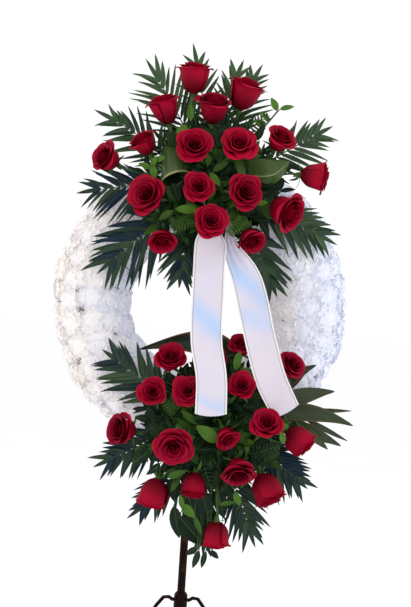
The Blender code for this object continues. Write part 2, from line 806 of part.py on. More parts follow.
def hub(material, parent):
    path = [Vector((0, 0, z)) for z in (HUB_BOTTOM, HUB_BOTTOM + 0.006, HUB_TOP - 0.006, HUB_TOP)]
    radii = [HUB_RADIUS - 0.005, HUB_RADIUS, HUB_RADIUS, HUB_RADIUS - 0.004]
    obj = closed_object("leg_hub", *tube(path, radii, 12), material, parent)
    smooth(obj)


def leg(name, angle, reach, material, parent):
    """A curved leg from the hub to the floor, ending in a flat round foot."""
    start = HUB_RADIUS + GAP
    profile = [(start, 0.258), (start + 0.012, 0.259), (0.060, 0.270), (0.112, 0.222), (0.180, 0.118),
               (reach - 0.045, 0.034), (reach - 0.010, 0.022)]
    path = curve_through([Vector((r, 0, z)) for r, z in profile], 2)
    radii = [LEG_RADIUS] * len(path)
    path += [Vector((reach, 0, z)) for z in (0.0135, FOOT_HEIGHT, 0.0)]
    radii += [LEG_RADIUS, FOOT_RADIUS, FOOT_RADIUS]
    turn = Matrix.Rotation(angle, 3, "Z")
    obj = closed_object(name, *tube([turn @ p for p in path], radii, 8), material, parent)
    smooth(obj)


def box(name, low, high, material, parent):
    """A plate or bar with its edges eased."""
    shape = bmesh.new()
    bmesh.ops.create_cube(shape, size=1.0)
    size = high - low
    bmesh.ops.scale(shape, vec=size, verts=shape.verts)
    bmesh.ops.translate(shape, vec=(low + high) / 2, verts=shape.verts)
    mesh = bpy.data.meshes.new(name)
    shape.to_mesh(mesh)
    shape.free()
    mesh.materials.append(material)
    obj = bpy.data.objects.new(name, mesh)
    obj.parent = parent
    bpy.context.scene.collection.objects.link(obj)
    return obj


def hanger(material, parent):
    """The plate on the post and the arm under the top of the ring, turned up at its end."""
    front = RING_BACK + GAP
    plate = box("plate", Vector((-0.020, front, 0.120)), Vector((0.020, front + PLATE_THICK, 0.215)),
                material, parent)
    arm = box("arm", Vector((-0.012, -0.074, HOOK_TOP - 0.005)), Vector((0.012, front + 0.002, HOOK_TOP)),
              material, parent)
    end = box("end", Vector((-0.012, -0.074, HOOK_TOP - 0.004)), Vector((0.012, -0.069, HOOK_TOP + 0.016)),
              material, parent)
    return fuse("hanger", [plate, arm, end], material, parent)


def lower_plate(material, parent):
    """The plate that keeps the bottom of the ring off the post."""
    front = RING_BACK + GAP
    low = Vector((-0.025, front, -RING_RADIUS - 0.035))
    high = Vector((0.025, front + PLATE_THICK, -RING_RADIUS + 0.035))
    return box("lower_plate", low, high, material, parent)


def main():
    for obj in list(bpy.data.objects):
        bpy.data.objects.remove(obj)
    wreath = bpy.data.objects.new("wreath", None)
    wreath.location = (-MIDDLE_X, -MIDDLE_Y, RING_HEIGHT)
    stand = bpy.data.objects.new("stand", None)
    stand.location = (-MIDDLE_X, -MIDDLE_Y + POST_Y, 0)
    for empty in (wreath, stand):
        bpy.context.scene.collection.objects.link(empty)
    white = finish("white_petals", (0.86, 0.84, 0.82), 0.7)
    red = finish("red_petals", (0.38, 0.004, 0.02), 0.55)
    green = finish("stem_green", (0.04, 0.12, 0.03), 0.6)
    foam = finish("floral_foam", (0.05, 0.18, 0.07), 0.9)
    palm = finish("palm_green", (0.02, 0.07, 0.03), 0.5)
    leaf = finish("leaf_green", (0.02, 0.05, 0.02), 0.35)
    satin = finish("white_satin", (0.80, 0.80, 0.92), 0.35)
    metal = finish("brown_metal", (0.06, 0.025, 0.02), 0.4, 0.6)

    post(metal, stand)
    hub(metal, stand)
    leg("leg_left", -math.pi / 2 - FRONT_LEG_ANGLE, FRONT_LEG_REACH, metal, stand)
    leg("leg_right", -math.pi / 2 + FRONT_LEG_ANGLE, FRONT_LEG_REACH, metal, stand)
    leg("leg_back", math.pi / 2, BACK_LEG_REACH, metal, stand)
    hanger(metal, wreath)
    lower_plate(metal, wreath)

    ring_core(foam, wreath)
    carnation_ring(white, wreath)
    spin = random.Random(11)
    for part, roses in (("upper", UPPER_ROSES), ("lower", LOWER_ROSES)):
        for number, row in enumerate(roses, 1):
            rose_head(f"rose_{part}_{number:02d}", row, spin.uniform(0, math.tau), red, wreath)
    balls = obstacles()
    spray_stems("spray_upper_stems", UPPER_FOAM, UPPER_ROSES, balls, green, wreath)
    spray_stems("spray_lower_stems", LOWER_FOAM, LOWER_ROSES, balls, green, wreath)
    for name, rows in FRONDS.items():
        palm_spray(name, rows, palm, wreath)
    broad_leaves("leaves_lower_right", BROAD_LEAVES, leaf, wreath)
    broad_leaf(LONG_LEAF, leaf, wreath).name = "leaf_long_lower"
    rolled_leaf(leaf, wreath)
    folded_leaf(leaf, wreath)
    ribbon_tail("ribbon_left", RIBBON_LEFT, satin, wreath)
    ribbon_tail("ribbon_right", RIBBON_RIGHT, satin, wreath)


main()
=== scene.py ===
# %% [markdown]
# # A funeral wreath, dressed
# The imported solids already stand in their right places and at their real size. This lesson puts
# the flowers, leaves, ribbon and paint on them, one kind of thing at a time.

# %% Load the solids
import math
import random

import bpy
import numpy as np
from mathutils import Matrix, Vector


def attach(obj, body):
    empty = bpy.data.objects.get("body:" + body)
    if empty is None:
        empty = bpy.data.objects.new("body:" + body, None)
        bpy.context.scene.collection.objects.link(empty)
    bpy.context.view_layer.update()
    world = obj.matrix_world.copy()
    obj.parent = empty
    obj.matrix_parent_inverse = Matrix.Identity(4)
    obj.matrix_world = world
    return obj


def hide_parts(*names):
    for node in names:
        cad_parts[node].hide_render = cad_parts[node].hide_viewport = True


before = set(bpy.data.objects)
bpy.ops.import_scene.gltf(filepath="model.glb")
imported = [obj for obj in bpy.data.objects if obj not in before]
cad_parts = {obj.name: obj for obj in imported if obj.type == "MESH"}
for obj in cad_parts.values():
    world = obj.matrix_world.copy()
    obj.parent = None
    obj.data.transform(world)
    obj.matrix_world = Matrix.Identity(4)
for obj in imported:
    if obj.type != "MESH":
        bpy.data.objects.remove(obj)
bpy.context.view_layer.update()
print("solids loaded:", len(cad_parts))

# %% [markdown]
# Every place on the wreath is given as three lengths from the middle of the ring: across to
# the right, out towards the viewer, and up. That way a rose, its stem and its leaves can share
# numbers, and one small function turns them into the places that Blender wants.

# %% Places on the wreath
RING_HEIGHT = 1.000
MIDDLE_X = 0.011
MIDDLE_Y = 0.022
CENTRE = Vector((-MIDDLE_X, -MIDDLE_Y, RING_HEIGHT))


def on_wreath(across, out, up):
    return CENTRE + Vector((across, -out, up))


print("middle of the ring:", [round(value, 3) for value in CENTRE])

# %% [markdown]
# The picture was taken level with the middle of the ring, from about 2.4 m away, with the
# camera tipped slightly to one side. The camera is set up first, because every later
# step is judged through it. Its lens is given as the number of picture dots that one metre
# covers at one metre away, turned into millimetres for Blender.

# %% Camera
PICTURE_WIDTH = 411
PICTURE_HEIGHT = 607
FOCAL_DOTS = 979
RING_AT = (199.7, 303.6)
DISTANCE = 2.4
TIPPED = math.radians(3.7)
SENSOR_WIDTH = 36

camera_data = bpy.data.cameras.new("camera")
camera = bpy.data.objects.new("camera", camera_data)
bpy.context.scene.collection.objects.link(camera)
camera.location = CENTRE + Vector((0, -DISTANCE, 0))
ahead = (CENTRE - camera.location).normalized()
right = ahead.cross(Vector((0, 0, 1))).normalized()
above = right.cross(ahead)
level = Matrix((right, above, -ahead)).transposed()
camera.rotation_euler = (level @ Matrix.Rotation(TIPPED, 3, "Z")).to_euler()
camera_data.sensor_fit = "HORIZONTAL"
camera_data.sensor_width = SENSOR_WIDTH
camera_data.lens = FOCAL_DOTS / PICTURE_WIDTH * SENSOR_WIDTH
camera_data.shift_x = (PICTURE_WIDTH / 2 - RING_AT[0]) / PICTURE_WIDTH
camera_data.shift_y = -(PICTURE_HEIGHT / 2 - RING_AT[1]) / PICTURE_WIDTH
bpy.context.scene.camera = camera
print("lens:", round(camera_data.lens, 1), "mm")

# %% [markdown]
# The real thing is lit by a bright overcast day. A nearly white world gives that even light
# and the pale ground. A soft warm lamp high on the left makes the heads round, a cool one on
# the right stands for the blue of the sky, and a third one lights the back.

# %% Light
WORLD_COLOUR = (0.99, 0.99, 1.0, 1.0)
WORLD_STRENGTH = 1.04
# name, place, width, power and colour
LAMPS = [
    ("lamp_left", (-2.0, -2.0, 2.9), 0.9, 8, (1.0, 0.88, 0.74)),
    ("lamp_right", (2.4, -1.2, 1.6), 1.4, 8, (0.62, 0.78, 1.0)),
    ("lamp_behind", (0.4, 2.4, 2.4), 1.6, 12, (0.90, 0.95, 1.0)),
]

world = bpy.data.worlds.new("overcast")
bpy.context.scene.world = world
world.use_nodes = True
background = world.node_tree.nodes["Background"]
background.inputs["Color"].default_value = WORLD_COLOUR
background.inputs["Strength"].default_value = WORLD_STRENGTH
bpy.context.scene.view_settings.view_transform = "Standard"
for name, place, width, power, colour in LAMPS:
    data = bpy.data.lights.new(name, "AREA")
    data.size = width
    data.energy = power
    data.color = colour
    lamp = bpy.data.objects.new(name, data)
    lamp.location = place
    lamp.rotation_euler = (CENTRE - Vector(place)).to_track_quat("-Z", "Y").to_euler()
    bpy.context.scene.collection.objects.link(lamp)
print("lamps:", len(LAMPS))

# %% [markdown]
# Most of this object is thin sheets: petals, leaves and ribbon. Each is a small grid with its
# own coordinates, from side to side and from foot to tip, so that veins and edges can be
# painted on it later. A heap gathers the sheets that belong together, with one shade number
# for each, and turns them into one mesh. Real geometry is used rather than instances.

# %% Grids and heaps
def grid(across, along):
    """Side and length coordinates of a grid, and its faces."""
    side, length = np.meshgrid(np.linspace(-1, 1, across + 1), np.linspace(0, 1, along + 1))
    corner = (np.arange(along)[:, None] * (across + 1) + np.arange(across)[None]).ravel()
    faces = np.stack([corner, corner + 1, corner + across + 2, corner + across + 1], 1)
    return side.ravel(), length.ravel(), faces


class Heap:
    """Sheets that become one mesh: points, faces, sheet coordinates and a shade for each point."""

    def __init__(self):
        self.points = []
        self.faces = []
        self.sheet = []
        self.shade = []
        self.count = 0

    def add(self, points, faces, sheet, shade):
        self.points.append(points)
        self.faces.append(faces + self.count)
        self.sheet.append(sheet)
        self.shade.append(np.full(len(points), shade) if np.isscalar(shade) else shade)
        self.count += len(points)

    def lay(self, points, cells, shade):
        """Add a sheet whose points follow the cells of a grid."""
        side, length, faces = cells
        self.add(points, faces, sheet_places(side, length), shade)

    def joined(self):
        return [np.concatenate(part) for part in (self.points, self.faces, self.sheet, self.shade)]

    def make(self, name, material, slot, *stands_for):
        points, faces, sheet, shades = self.joined()
        mesh = bpy.data.meshes.new(name)
        mesh.from_pydata(points.tolist(), [], faces.tolist())
        layer = mesh.uv_layers.new(name="sheet")
        layer.data.foreach_set("uv", sheet[faces.ravel()].ravel())
        attribute = mesh.attributes.new("shade", "FLOAT", "POINT")
        attribute.data.foreach_set("value", shades)
        mesh.shade_smooth()
        mesh.materials.append(material)
        piece = bpy.data.objects.new(name, mesh)
        bpy.context.scene.collection.objects.link(piece)
        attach(piece, "root")
        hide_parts(*stands_for)
        print(name, len(faces), "faces")
        return piece


def sheet_places(side, length):
    """Where each point of a grid lies on its sheet, from 0 to 1 both ways."""
    return np.stack([side * 0.5 + 0.5, length], 1)


def tube(path, radii, sides):
    """A round stem along a path, with closed ends."""
    path = [Vector(point) for point in path]
    side = (path[1] - path[0]).orthogonal().normalized()
    points = []
    for i, point in enumerate(path):
        run = (path[min(i + 1, len(path) - 1)] - path[max(i - 1, 0)]).normalized()
        side = (side - run * side.dot(run)).normalized()
        up = run.cross(side)
        for k in range(sides):
            turn = math.tau * k / sides
            points.append(point + radii[i] * (side * math.cos(turn) + up * math.sin(turn)))
    faces = []
    for i in range(len(path) - 1):
        for k in range(sides):
            a, b = i * sides + k, i * sides + (k + 1) % sides
            faces.append((a, b, b + sides, a + sides))
    last = (len(path) - 1) * sides
    for k in range(1, sides - 2, 2):
        faces.append((0, k + 2, k + 1, k))
        faces.append((last, last + k, last + k + 1, last + k + 2))
    places = np.array([(k % sides / sides, k // sides / (len(path) - 1)) for k in range(len(points))])
    return np.array(points), np.array(faces), places


def curve_through(points, steps):
    """Points of a smooth curve that passes through the given ones."""
    points = [np.array(point, float) for point in points]
    ends = [2 * points[0] - points[1]] + points + [2 * points[-1] - points[-2]]
    line = []
    for i in range(1, len(ends) - 2):
        p, q, r, s = ends[i - 1 : i + 3]
        for k in range(steps):
            t = k / steps
            line.append(0.5 * (2 * q + (r - p) * t + (2 * p - 5 * q + 4 * r - s) * t**2
                               + (3 * q - p - 3 * r + s) * t**3))
    return line + [points[-1]]


# %% [markdown]
# Three effects are used by more than one finish, so each is a node group, built once. The
# first, mottle, mixes two colours in soft patches and shifts the mix by the shade of each
# sheet: partly because no two petals or leaves are quite alike, partly as painted light and
# shade that some sheets are given by where they stand. It reads a place on the object itself,
# so the patches stay where they are from every side.

# %% Node group: mottle
def feed(tree, socket, value):
    """Give a socket a plain value, or join another node's output to it."""
    if isinstance(value, bpy.types.NodeSocket):
        tree.links.new(value, socket)
    else:
        socket.default_value = value


def fill(tree, node, **values):
    """Feed a node's inputs by name, with _ for a space."""
    for label, value in values.items():
        feed(tree, node.inputs[label.replace("_", " ")], value)
    return node


def new_node(tree, kind, **values):
    return fill(tree, tree.nodes.new("ShaderNode" + kind), **values)


def new_group(name, inputs, outputs):
    """A group, the values it is given, and the node that its results go to."""
    tree = bpy.data.node_groups.new(name, "ShaderNodeTree")
    for label, kind, value in inputs:
        socket = tree.interface.new_socket(label, in_out="INPUT", socket_type=kind)
        socket.default_value = value
    for label, kind in outputs:
        tree.interface.new_socket(label, in_out="OUTPUT", socket_type=kind)
    return tree, tree.nodes.new("NodeGroupInput").outputs, tree.nodes.new("NodeGroupOutput")


def math_node(tree, operation, *values, clamp=False):
    node = tree.nodes.new("ShaderNodeMath")
    node.operation = operation
    node.use_clamp = clamp
    for socket, value in zip(node.inputs, values):
        feed(tree, socket, value)
    return node.outputs[0]


def mix_colour(tree, factor, first, second):
    node = tree.nodes.new("ShaderNodeMix")
    node.data_type = "RGBA"
    for index, value in ((0, factor), (6, first), (7, second)):
        feed(tree, node.inputs[index], value)
    return node.outputs[2]


COLOUR = "NodeSocketColor"
NUMBER = "NodeSocketFloat"
mottle, given, results = new_group(
    "mottle",
    [("First", COLOUR, (1, 1, 1, 1)), ("Second", COLOUR, (0, 0, 0, 1)),
     ("Scale", NUMBER, 20.0), ("Patches", NUMBER, 1.0), ("Shades", NUMBER, 0.5)],
    [("Colour", COLOUR), ("Share", NUMBER)])
place = new_node(mottle, "TexCoord").outputs["Object"]
noise = new_node(mottle, "TexNoise", Vector=place, Scale=given["Scale"], Detail=3.0)
shade = new_node(mottle, "Attribute")
shade.attribute_name = "shade"
moves = [
    math_node(mottle, "MULTIPLY", math_node(mottle, "SUBTRACT", node.outputs["Fac"], 0.5), given[label])
    for node, label in ((noise, "Patches"), (shade, "Shades"))]
share = math_node(mottle, "ADD", math_node(mottle, "ADD", *moves), 0.5, clamp=True)
fill(mottle, results, Share=share, Colour=mix_colour(mottle, share, given["First"], given["Second"]))
print("mottle:", len(mottle.nodes), "nodes")

# %% [markdown]
# The second group draws veins on a sheet. Lines can run along it, as on a petal or a palm
# leaflet, or leave a middle line at a slant, as on a broad leaf. It gives the height of the
# veins for a Bump node, a mask of the middle line, and how near a point is to the side edge
# and to the tip, because petals and leaves change colour there.

# %% Node group: veins
WAVER_SCALE = 130.0
MIDRIB_HEIGHT = 3.0
veins, given, results = new_group(
    "veins",
    [("Lines across", NUMBER, 20.0), ("Lines along", NUMBER, 0.0), ("Slant", NUMBER, 0.0),
     ("Middle width", NUMBER, 0.03), ("Waver", NUMBER, 0.6)],
    [("Height", NUMBER), ("Middle", NUMBER), ("Edge", NUMBER), ("Tip", NUMBER)])
sheet = new_node(veins, "UVMap")
sheet.uv_map = "sheet"
across, along, _ = new_node(veins, "SeparateXYZ", Vector=sheet.outputs["UV"]).outputs
place = new_node(veins, "TexCoord").outputs["Object"]
noise = new_node(veins, "TexNoise", Vector=place, Scale=WAVER_SCALE)
off_middle = math_node(veins, "ABSOLUTE", math_node(veins, "SUBTRACT", across, 0.5))
run = math_node(veins, "MULTIPLY", across, given["Lines across"])
for value, label in ((along, "Lines along"), (off_middle, "Slant"), (noise.outputs["Fac"], "Waver")):
    run = math_node(veins, "MULTIPLY_ADD", value, given[label], run)
wave = math_node(veins, "SINE", math_node(veins, "MULTIPLY", run, math.tau))
wave = math_node(veins, "MULTIPLY_ADD", wave, 0.5, 0.5)
middle = math_node(veins, "DIVIDE", off_middle, given["Middle width"])
middle = math_node(veins, "SUBTRACT", 1.0, middle, clamp=True)
height = math_node(veins, "MAXIMUM", wave, math_node(veins, "MULTIPLY", middle, MIDRIB_HEIGHT))
edge = math_node(veins, "MULTIPLY", off_middle, 2.0)
fill(veins, results, Height=height, Middle=middle, Edge=edge, Tip=along)
print("veins:", len(veins.nodes), "nodes")

# %% [markdown]
# The third group is wear for the painted stand: scuffs and chips where a noise passes a
# level, and a fine orange-peel height that sprayed paint has. The core foam uses the same
# height for its grain, with other numbers.

# %% Node group: wear
SCUFF_SHARPNESS = 14.0
wear, given, results = new_group(
    "wear",
    [("Grain", NUMBER, 600.0), ("Scuffs", NUMBER, 35.0), ("Level", NUMBER, 0.62)],
    [("Height", NUMBER), ("Scuffed", NUMBER), ("Smudge", NUMBER)])
place = new_node(wear, "TexCoord").outputs["Object"]
fine = new_node(wear, "TexNoise", Vector=place, Scale=given["Grain"]).outputs["Fac"]
coarse = new_node(wear, "TexNoise", Vector=place, Scale=given["Scuffs"], Detail=6.0).outputs["Fac"]
over = math_node(wear, "SUBTRACT", coarse, given["Level"])
scuffed = math_node(wear, "MULTIPLY", over, SCUFF_SHARPNESS, clamp=True)
fill(wear, results, Height=fine, Scuffed=scuffed, Smudge=coarse)
print("wear:", len(wear.nodes), "nodes")

# %% [markdown]
# A finish is a Principled shader fed by these groups. Small helpers make the material, place a
# group in it, turn a height into a normal and soften a limit. What is the same all over, such
# as sheen, is set on the shader's own socket.

# %% Helpers: a material and what feeds it
def use_group(tree, group, **values):
    """The results of a group that is placed in a material with its own values."""
    node = tree.nodes.new("ShaderNodeGroup")
    node.node_tree = group
    return fill(tree, node, **values).outputs


def bump(tree, height, distance, strength=0.5):
    return new_node(tree, "Bump", Distance=distance, Strength=strength, Height=height).outputs["Normal"]


def new_material(name, **plain):
    material = bpy.data.materials.new(name)
    material.use_nodes = True
    tree = material.node_tree
    return material, tree, fill(tree, tree.nodes["Principled BSDF"], **plain)


def between(tree, value, low, high):
    """0 at low and 1 at high, smooth between them. Low may be the larger number."""
    node = tree.nodes.new("ShaderNodeMapRange")
    node.interpolation_type = "SMOOTHSTEP"
    return fill(tree, node, Value=value, From_Min=low, From_Max=high).outputs["Result"]


# %% [markdown]
# White carnation petals are matt and a little translucent, cream at the foot. The two whites of
# the mottle carry painted light: a painted warm light on the left of the ring and a painted cool,
# lilac light on its right, by where each head stands and which way it faces. The foot colour and
# a cooler white at the frilled rim are laid over by the height on the petal. A faint even painted
# glow stands for the light that passes through thin petals.

# %% Finish: white petals
white_petal, tree, shader = new_material(
    "white_petal", Roughness=0.75, Specular_IOR_Level=0.3, Emission_Color=(0.92, 0.92, 1.0, 1),
    Emission_Strength=0.09)
# the warm first white and the cool second white carry painted light, picked by the shade of each head
colour = use_group(tree, mottle, First=(0.90, 0.835, 0.775, 1), Second=(0.70, 0.74, 0.92, 1),
                   Scale=9.0, Patches=1.6, Shades=1.1)
lines = use_group(tree, veins, Lines_across=9.0, Waver=1.2, Middle_width=0.001)
foot = between(tree, lines["Tip"], 0.75, 0.1)
rim = between(tree, lines["Tip"], 0.80, 1.0)
body = mix_colour(tree, foot, colour["Colour"], (0.90, 0.88, 0.82, 1))
body = mix_colour(tree, rim, body, (0.85, 0.845, 0.870, 1))
fill(tree, shader, Base_Color=body, Normal=bump(tree, lines["Height"], 0.0006))
print("made:", white_petal.name)

# %% [markdown]
# A red rose petal looks like velvet: deep crimson with a soft sheen at grazing angles. Painted
# shade makes it almost black at the foot of each petal, between the petals, and a painted
# highlight gives a slightly lighter, pinker line at the rolled rim.

# %% Finish: red petals
red_petal, tree, shader = new_material(
    "red_petal", Roughness=0.55, Specular_IOR_Level=0.08, Sheen_Weight=0.012, Sheen_Roughness=0.4,
    Sheen_Tint=(1.0, 0.15, 0.2, 1))
colour = use_group(tree, mottle, First=(0.42, 0.0004, 0.024, 1), Second=(0.17, 0.0002, 0.012, 1),
                   Scale=16.0, Patches=0.9, Shades=1.0)
lines = use_group(tree, veins, Lines_across=16.0, Waver=0.9, Middle_width=0.001)
# painted shade darkens the foot of each petal, and a painted highlight lightens its rim
foot = between(tree, lines["Tip"], 0.85, 0.25)
rim = math_node(tree, "MULTIPLY", between(tree, lines["Tip"], 0.93, 1.0), 0.5)
body = mix_colour(tree, foot, colour["Colour"], (0.15, 0.0003, 0.009, 1))
body = mix_colour(tree, rim, body, (0.50, 0.004, 0.040, 1))
fill(tree, shader, Base_Color=body, Normal=bump(tree, lines["Height"], 0.0004))
print("made:", red_petal.name)

# %% [markdown]
# The greens differ more in gloss than in colour. Palm is dark, with bluer patches that are a
# painted reflection of the sky, the small leaves are a fresh yellow green, and the broad leaves
# are nearly black green and waxy, with dry brown edges. The two bent leaves are a lighter green,
# partly painted light, with a pale midrib that is a painted highlight along the ridge. One
# function makes them all, with its own numbers for each.

# %% Finish: leaves
def leaf_material(name, first, second, middle, scale, lines, gloss, coat=0.0, shades=1.0, sky=None,
                  dry=None):
    """Two greens in patches, a paler midrib, and a painted sky reflection or a dry edge where given."""
    material, tree, shader = new_material(
        name, Roughness=gloss, Specular_IOR_Level=0.20, Coat_Weight=coat, Coat_Roughness=0.25)
    colour = use_group(tree, mottle, First=first, Second=second, Scale=scale, Patches=0.9,
                       Shades=shades)
    vein = use_group(tree, veins, **lines)
    body = mix_colour(tree, math_node(tree, "MULTIPLY", vein["Middle"], 0.7), colour["Colour"], middle)
    if sky:
        patch = math_node(tree, "MULTIPLY", between(tree, colour["Share"], 0.78, 1.0), 0.7)
        body = mix_colour(tree, patch, body, sky)
    if dry:
        patch = math_node(tree, "MULTIPLY", between(tree, vein["Edge"], 0.72, 1.0), 0.8)
        body = mix_colour(tree, math_node(tree, "MULTIPLY", patch, colour["Share"]), body, dry)
    fill(tree, shader, Base_Color=body, Normal=bump(tree, vein["Height"], 0.0005),
         Roughness=math_node(tree, "MULTIPLY_ADD", colour["Share"], 0.2, gloss - 0.08))
    return material


# the sky colour is a painted reflection of the sky, laid on the darkest patches
palm_leaf = leaf_material("palm_leaf", (0.055, 0.105, 0.042, 1), (0.003, 0.014, 0.018, 1),
                          (0.060, 0.110, 0.040, 1), 14.0,
                          {"Lines_across": 6.0, "Middle_width": 0.05, "Waver": 0.2}, 0.45, 0.03,
                          sky=(0.005, 0.026, 0.050, 1))
small_leaf = leaf_material("small_leaf", (0.068, 0.175, 0.012, 1), (0.004, 0.020, 0.007, 1),
                           (0.13, 0.24, 0.04, 1), 18.0,
                           {"Lines_across": 0.0, "Lines_along": 7.0, "Slant": -9.0,
                            "Middle_width": 0.03, "Waver": 0.3}, 0.42, 0.06, 1.8)
broad_leaf = leaf_material("broad_leaf", (0.034, 0.060, 0.012, 1), (0.004, 0.013, 0.006, 1),
                           (0.07, 0.10, 0.025, 1), 10.0,
                           {"Lines_across": 18.0, "Middle_width": 0.02, "Waver": 0.2}, 0.24, 0.35,
                           dry=(0.22, 0.085, 0.022, 1))
# the pale middle colour is a painted highlight along the fold's ridge and the roll's edge, and the lighter
# first green is partly painted light
bent_leaf = leaf_material("bent_leaf", (0.050, 0.095, 0.020, 1), (0.008, 0.022, 0.008, 1),
                          (0.50, 0.48, 0.20, 1), 12.0,
                          {"Lines_across": 18.0, "Middle_width": 0.05, "Waver": 0.2}, 0.26, 0.25)
green_stem = leaf_material("green_stem", (0.070, 0.150, 0.030, 1), (0.020, 0.070, 0.018, 1),
                           (0.07, 0.15, 0.03, 1), 30.0,
                           {"Lines_across": 5.0, "Middle_width": 0.001, "Waver": 0.4}, 0.5)
leaf_finishes = (palm_leaf, small_leaf, broad_leaf, bent_leaf, green_stem)
print("leaf finishes:", [finish.name for finish in leaf_finishes])

# %% [markdown]
# The ribbon is white satin with a woven selvage and a thin gold thread near each side. Satin
# shines along its threads, so the weave is a very fine bump and the gloss changes from warp
# to selvage. The pale blue bands of the real ribbon are the sky on its curves. They are in the
# colour here, by a shade that each tail is given at its own heights.

# %% Finish: satin and gold thread
THREAD_AT = 0.87
THREAD_SHARPNESS = 26.0
satin, tree, shader = new_material("satin", Roughness=0.34, Sheen_Weight=0.2, Anisotropic=0.5,
                                   Specular_IOR_Level=0.55)
# the blue second colour is a painted sky reflection, in noise patches as well as in each tail's sky bands
colour = use_group(tree, mottle, First=(0.76, 0.69, 0.77, 1), Second=(0.49, 0.63, 0.90, 1),
                   Scale=9.0, Patches=0.9, Shades=0.9)
weave = use_group(tree, veins, Lines_across=70.0, Waver=0.1, Middle_width=0.0001)
off_thread = math_node(tree, "ABSOLUTE", math_node(tree, "SUBTRACT", weave["Edge"], THREAD_AT))
off_thread = math_node(tree, "MULTIPLY", off_thread, THREAD_SHARPNESS)
gold = math_node(tree, "SUBTRACT", 1.0, off_thread, clamp=True)
selvage = between(tree, weave["Edge"], 0.90, 0.92)
body = mix_colour(tree, selvage, colour["Colour"], (0.88, 0.87, 0.90, 1))
body = mix_colour(tree, gold, body, (0.40, 0.27, 0.15, 1))
height = math_node(tree, "MULTIPLY_ADD", gold, 2.0, weave["Height"])
fill(tree, shader, Base_Color=body, Normal=bump(tree, height, 0.0003, 0.35),
     Roughness=math_node(tree, "MULTIPLY_ADD", selvage, 0.2, 0.32))
print("made:", satin.name)

# %% [markdown]
# The stand is iron tube painted a dark brown that is nearly black, rubbed to a redder brown
# where it is handled. The foam that holds the stems is dark green, soft and full of tiny
# pores. Both use the wear group, the paint for its scuffs and the foam for its grain.

# %% Finish: painted iron and foam
def worn_material(name, rub, first, second, scuffed, distance, strength, **plain):
    """Two colours in patches and a third where it is scuffed, with the wear group's own values."""
    material, tree, shader = new_material(name, **plain)
    rub = use_group(tree, wear, **rub)
    body = mix_colour(tree, rub["Smudge"], first, second)
    body = mix_colour(tree, rub["Scuffed"], body, scuffed)
    fill(tree, shader, Base_Color=body, Normal=bump(tree, rub["Height"], distance, strength))
    return material, tree, shader, rub


painted_iron, tree, shader, rub = worn_material(
    "painted_iron", {"Grain": 700.0, "Scuffs": 28.0, "Level": 0.60}, (0.006, 0.002, 0.0015, 1),
    (0.015, 0.005, 0.003, 1), (0.055, 0.014, 0.008, 1), 0.0004, 0.4, Metallic=0.05,
    Specular_IOR_Level=0.06)
fill(tree, shader, Roughness=math_node(tree, "MULTIPLY_ADD", rub["Smudge"], 0.30, 0.35))
green_foam = worn_material(
    "green_foam", {"Grain": 900.0, "Scuffs": 60.0, "Level": 0.55}, (0.020, 0.060, 0.026, 1),
    (0.045, 0.110, 0.045, 1), (0.012, 0.030, 0.014, 1), 0.0012, 0.9, Roughness=0.95)[0]

STAND = ["post", "leg_hub", "leg_left", "leg_right", "leg_back", "hanger", "lower_plate"]
for name in STAND + ["ring_core"]:
    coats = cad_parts[name].data.materials
    coats.clear()
    coats.append(painted_iron if name in STAND else green_foam)
print("stand and core painted:", len(STAND) + 1, "nodes")

# %% [markdown]
# The ring is about two hundred white carnations, pushed into a foam ring side by
# side until none of it shows. A carnation is a dome of narrow fans that fold into frills, each
# with a toothed edge. One flower is built from such fans, set round in the golden angle as
# they are in nature, upright in the middle and lying flat at the rim, over a plain dome that
# closes the gaps between them. Five flowers are made, then copied round the tube with a turn,
# a tilt and a size of their own.

# %% One carnation
FAN = grid(8, 3)
FAN_SIDE, FAN_LENGTH, _ = FAN
GOLDEN_ANGLE = math.radians(137.5)
FANS = 40
HEART = grid(10, 5)
HEART_RADIUS = 0.88
HEART_FLATNESS = 0.80


def carnation(randomness):
    """Points, faces, sheet places and shades of a flower of radius 1 that faces up."""
    flower = Heap()
    teeth = 0.04 * (np.arange(len(FAN_SIDE)) % 9 % 2 * 2 - 1) * (FAN_LENGTH == 1)
    for i in range(FANS):
        share = (i + 0.5) / FANS
        lean = math.radians(4 + 96 * share**0.72) + randomness.uniform(-0.10, 0.10)
        turn = i * GOLDEN_ANGLE + randomness.uniform(-0.25, 0.25)
        out = np.array([math.sin(lean) * math.cos(turn), math.sin(lean) * math.sin(turn), math.cos(lean)])
        round_it = np.array([-math.sin(turn), math.cos(turn), 0.0])
        square = np.cross(out, round_it)
        reach = randomness.uniform(0.90, 1.03)
        width = randomness.uniform(0.40, 0.54) * (0.75 + 0.45 * share)
        frill = randomness.uniform(0.06, 0.11)
        curl = randomness.uniform(0.10, 0.30)
        phase = randomness.uniform(0, math.tau)
        length = 0.35 + 0.65 * FAN_LENGTH
        along = reach * (length + teeth - 0.10 * FAN_SIDE**2 * FAN_LENGTH)
        ripple = frill * np.sin(FAN_SIDE * 5.2 + phase) * FAN_LENGTH**1.5 - curl * FAN_LENGTH**3
        spread = width * FAN_SIDE * length**0.8
        points = along[:, None] * out + spread[:, None] * round_it + ripple[:, None] * square
        flower.lay(points, FAN, randomness.uniform(0.3, 0.7))
    side, rise, dome = HEART
    turn, slope = side * math.pi, rise * math.pi * 0.65
    heart = np.stack([np.sin(slope) * np.cos(turn), np.sin(slope) * np.sin(turn), np.cos(slope)], 1)
    flower.add(HEART_RADIUS * heart, dome[:, ::-1], sheet_places(side, rise * 0 + 0.5), 0.6)
    points, faces, places, shades = flower.joined()
    return points * (1, 1, HEART_FLATNESS), faces, places, shades


FLOWERS = [carnation(random.Random(seed)) for seed in range(5)]
print("one carnation:", len(FLOWERS[0][1]), "faces")

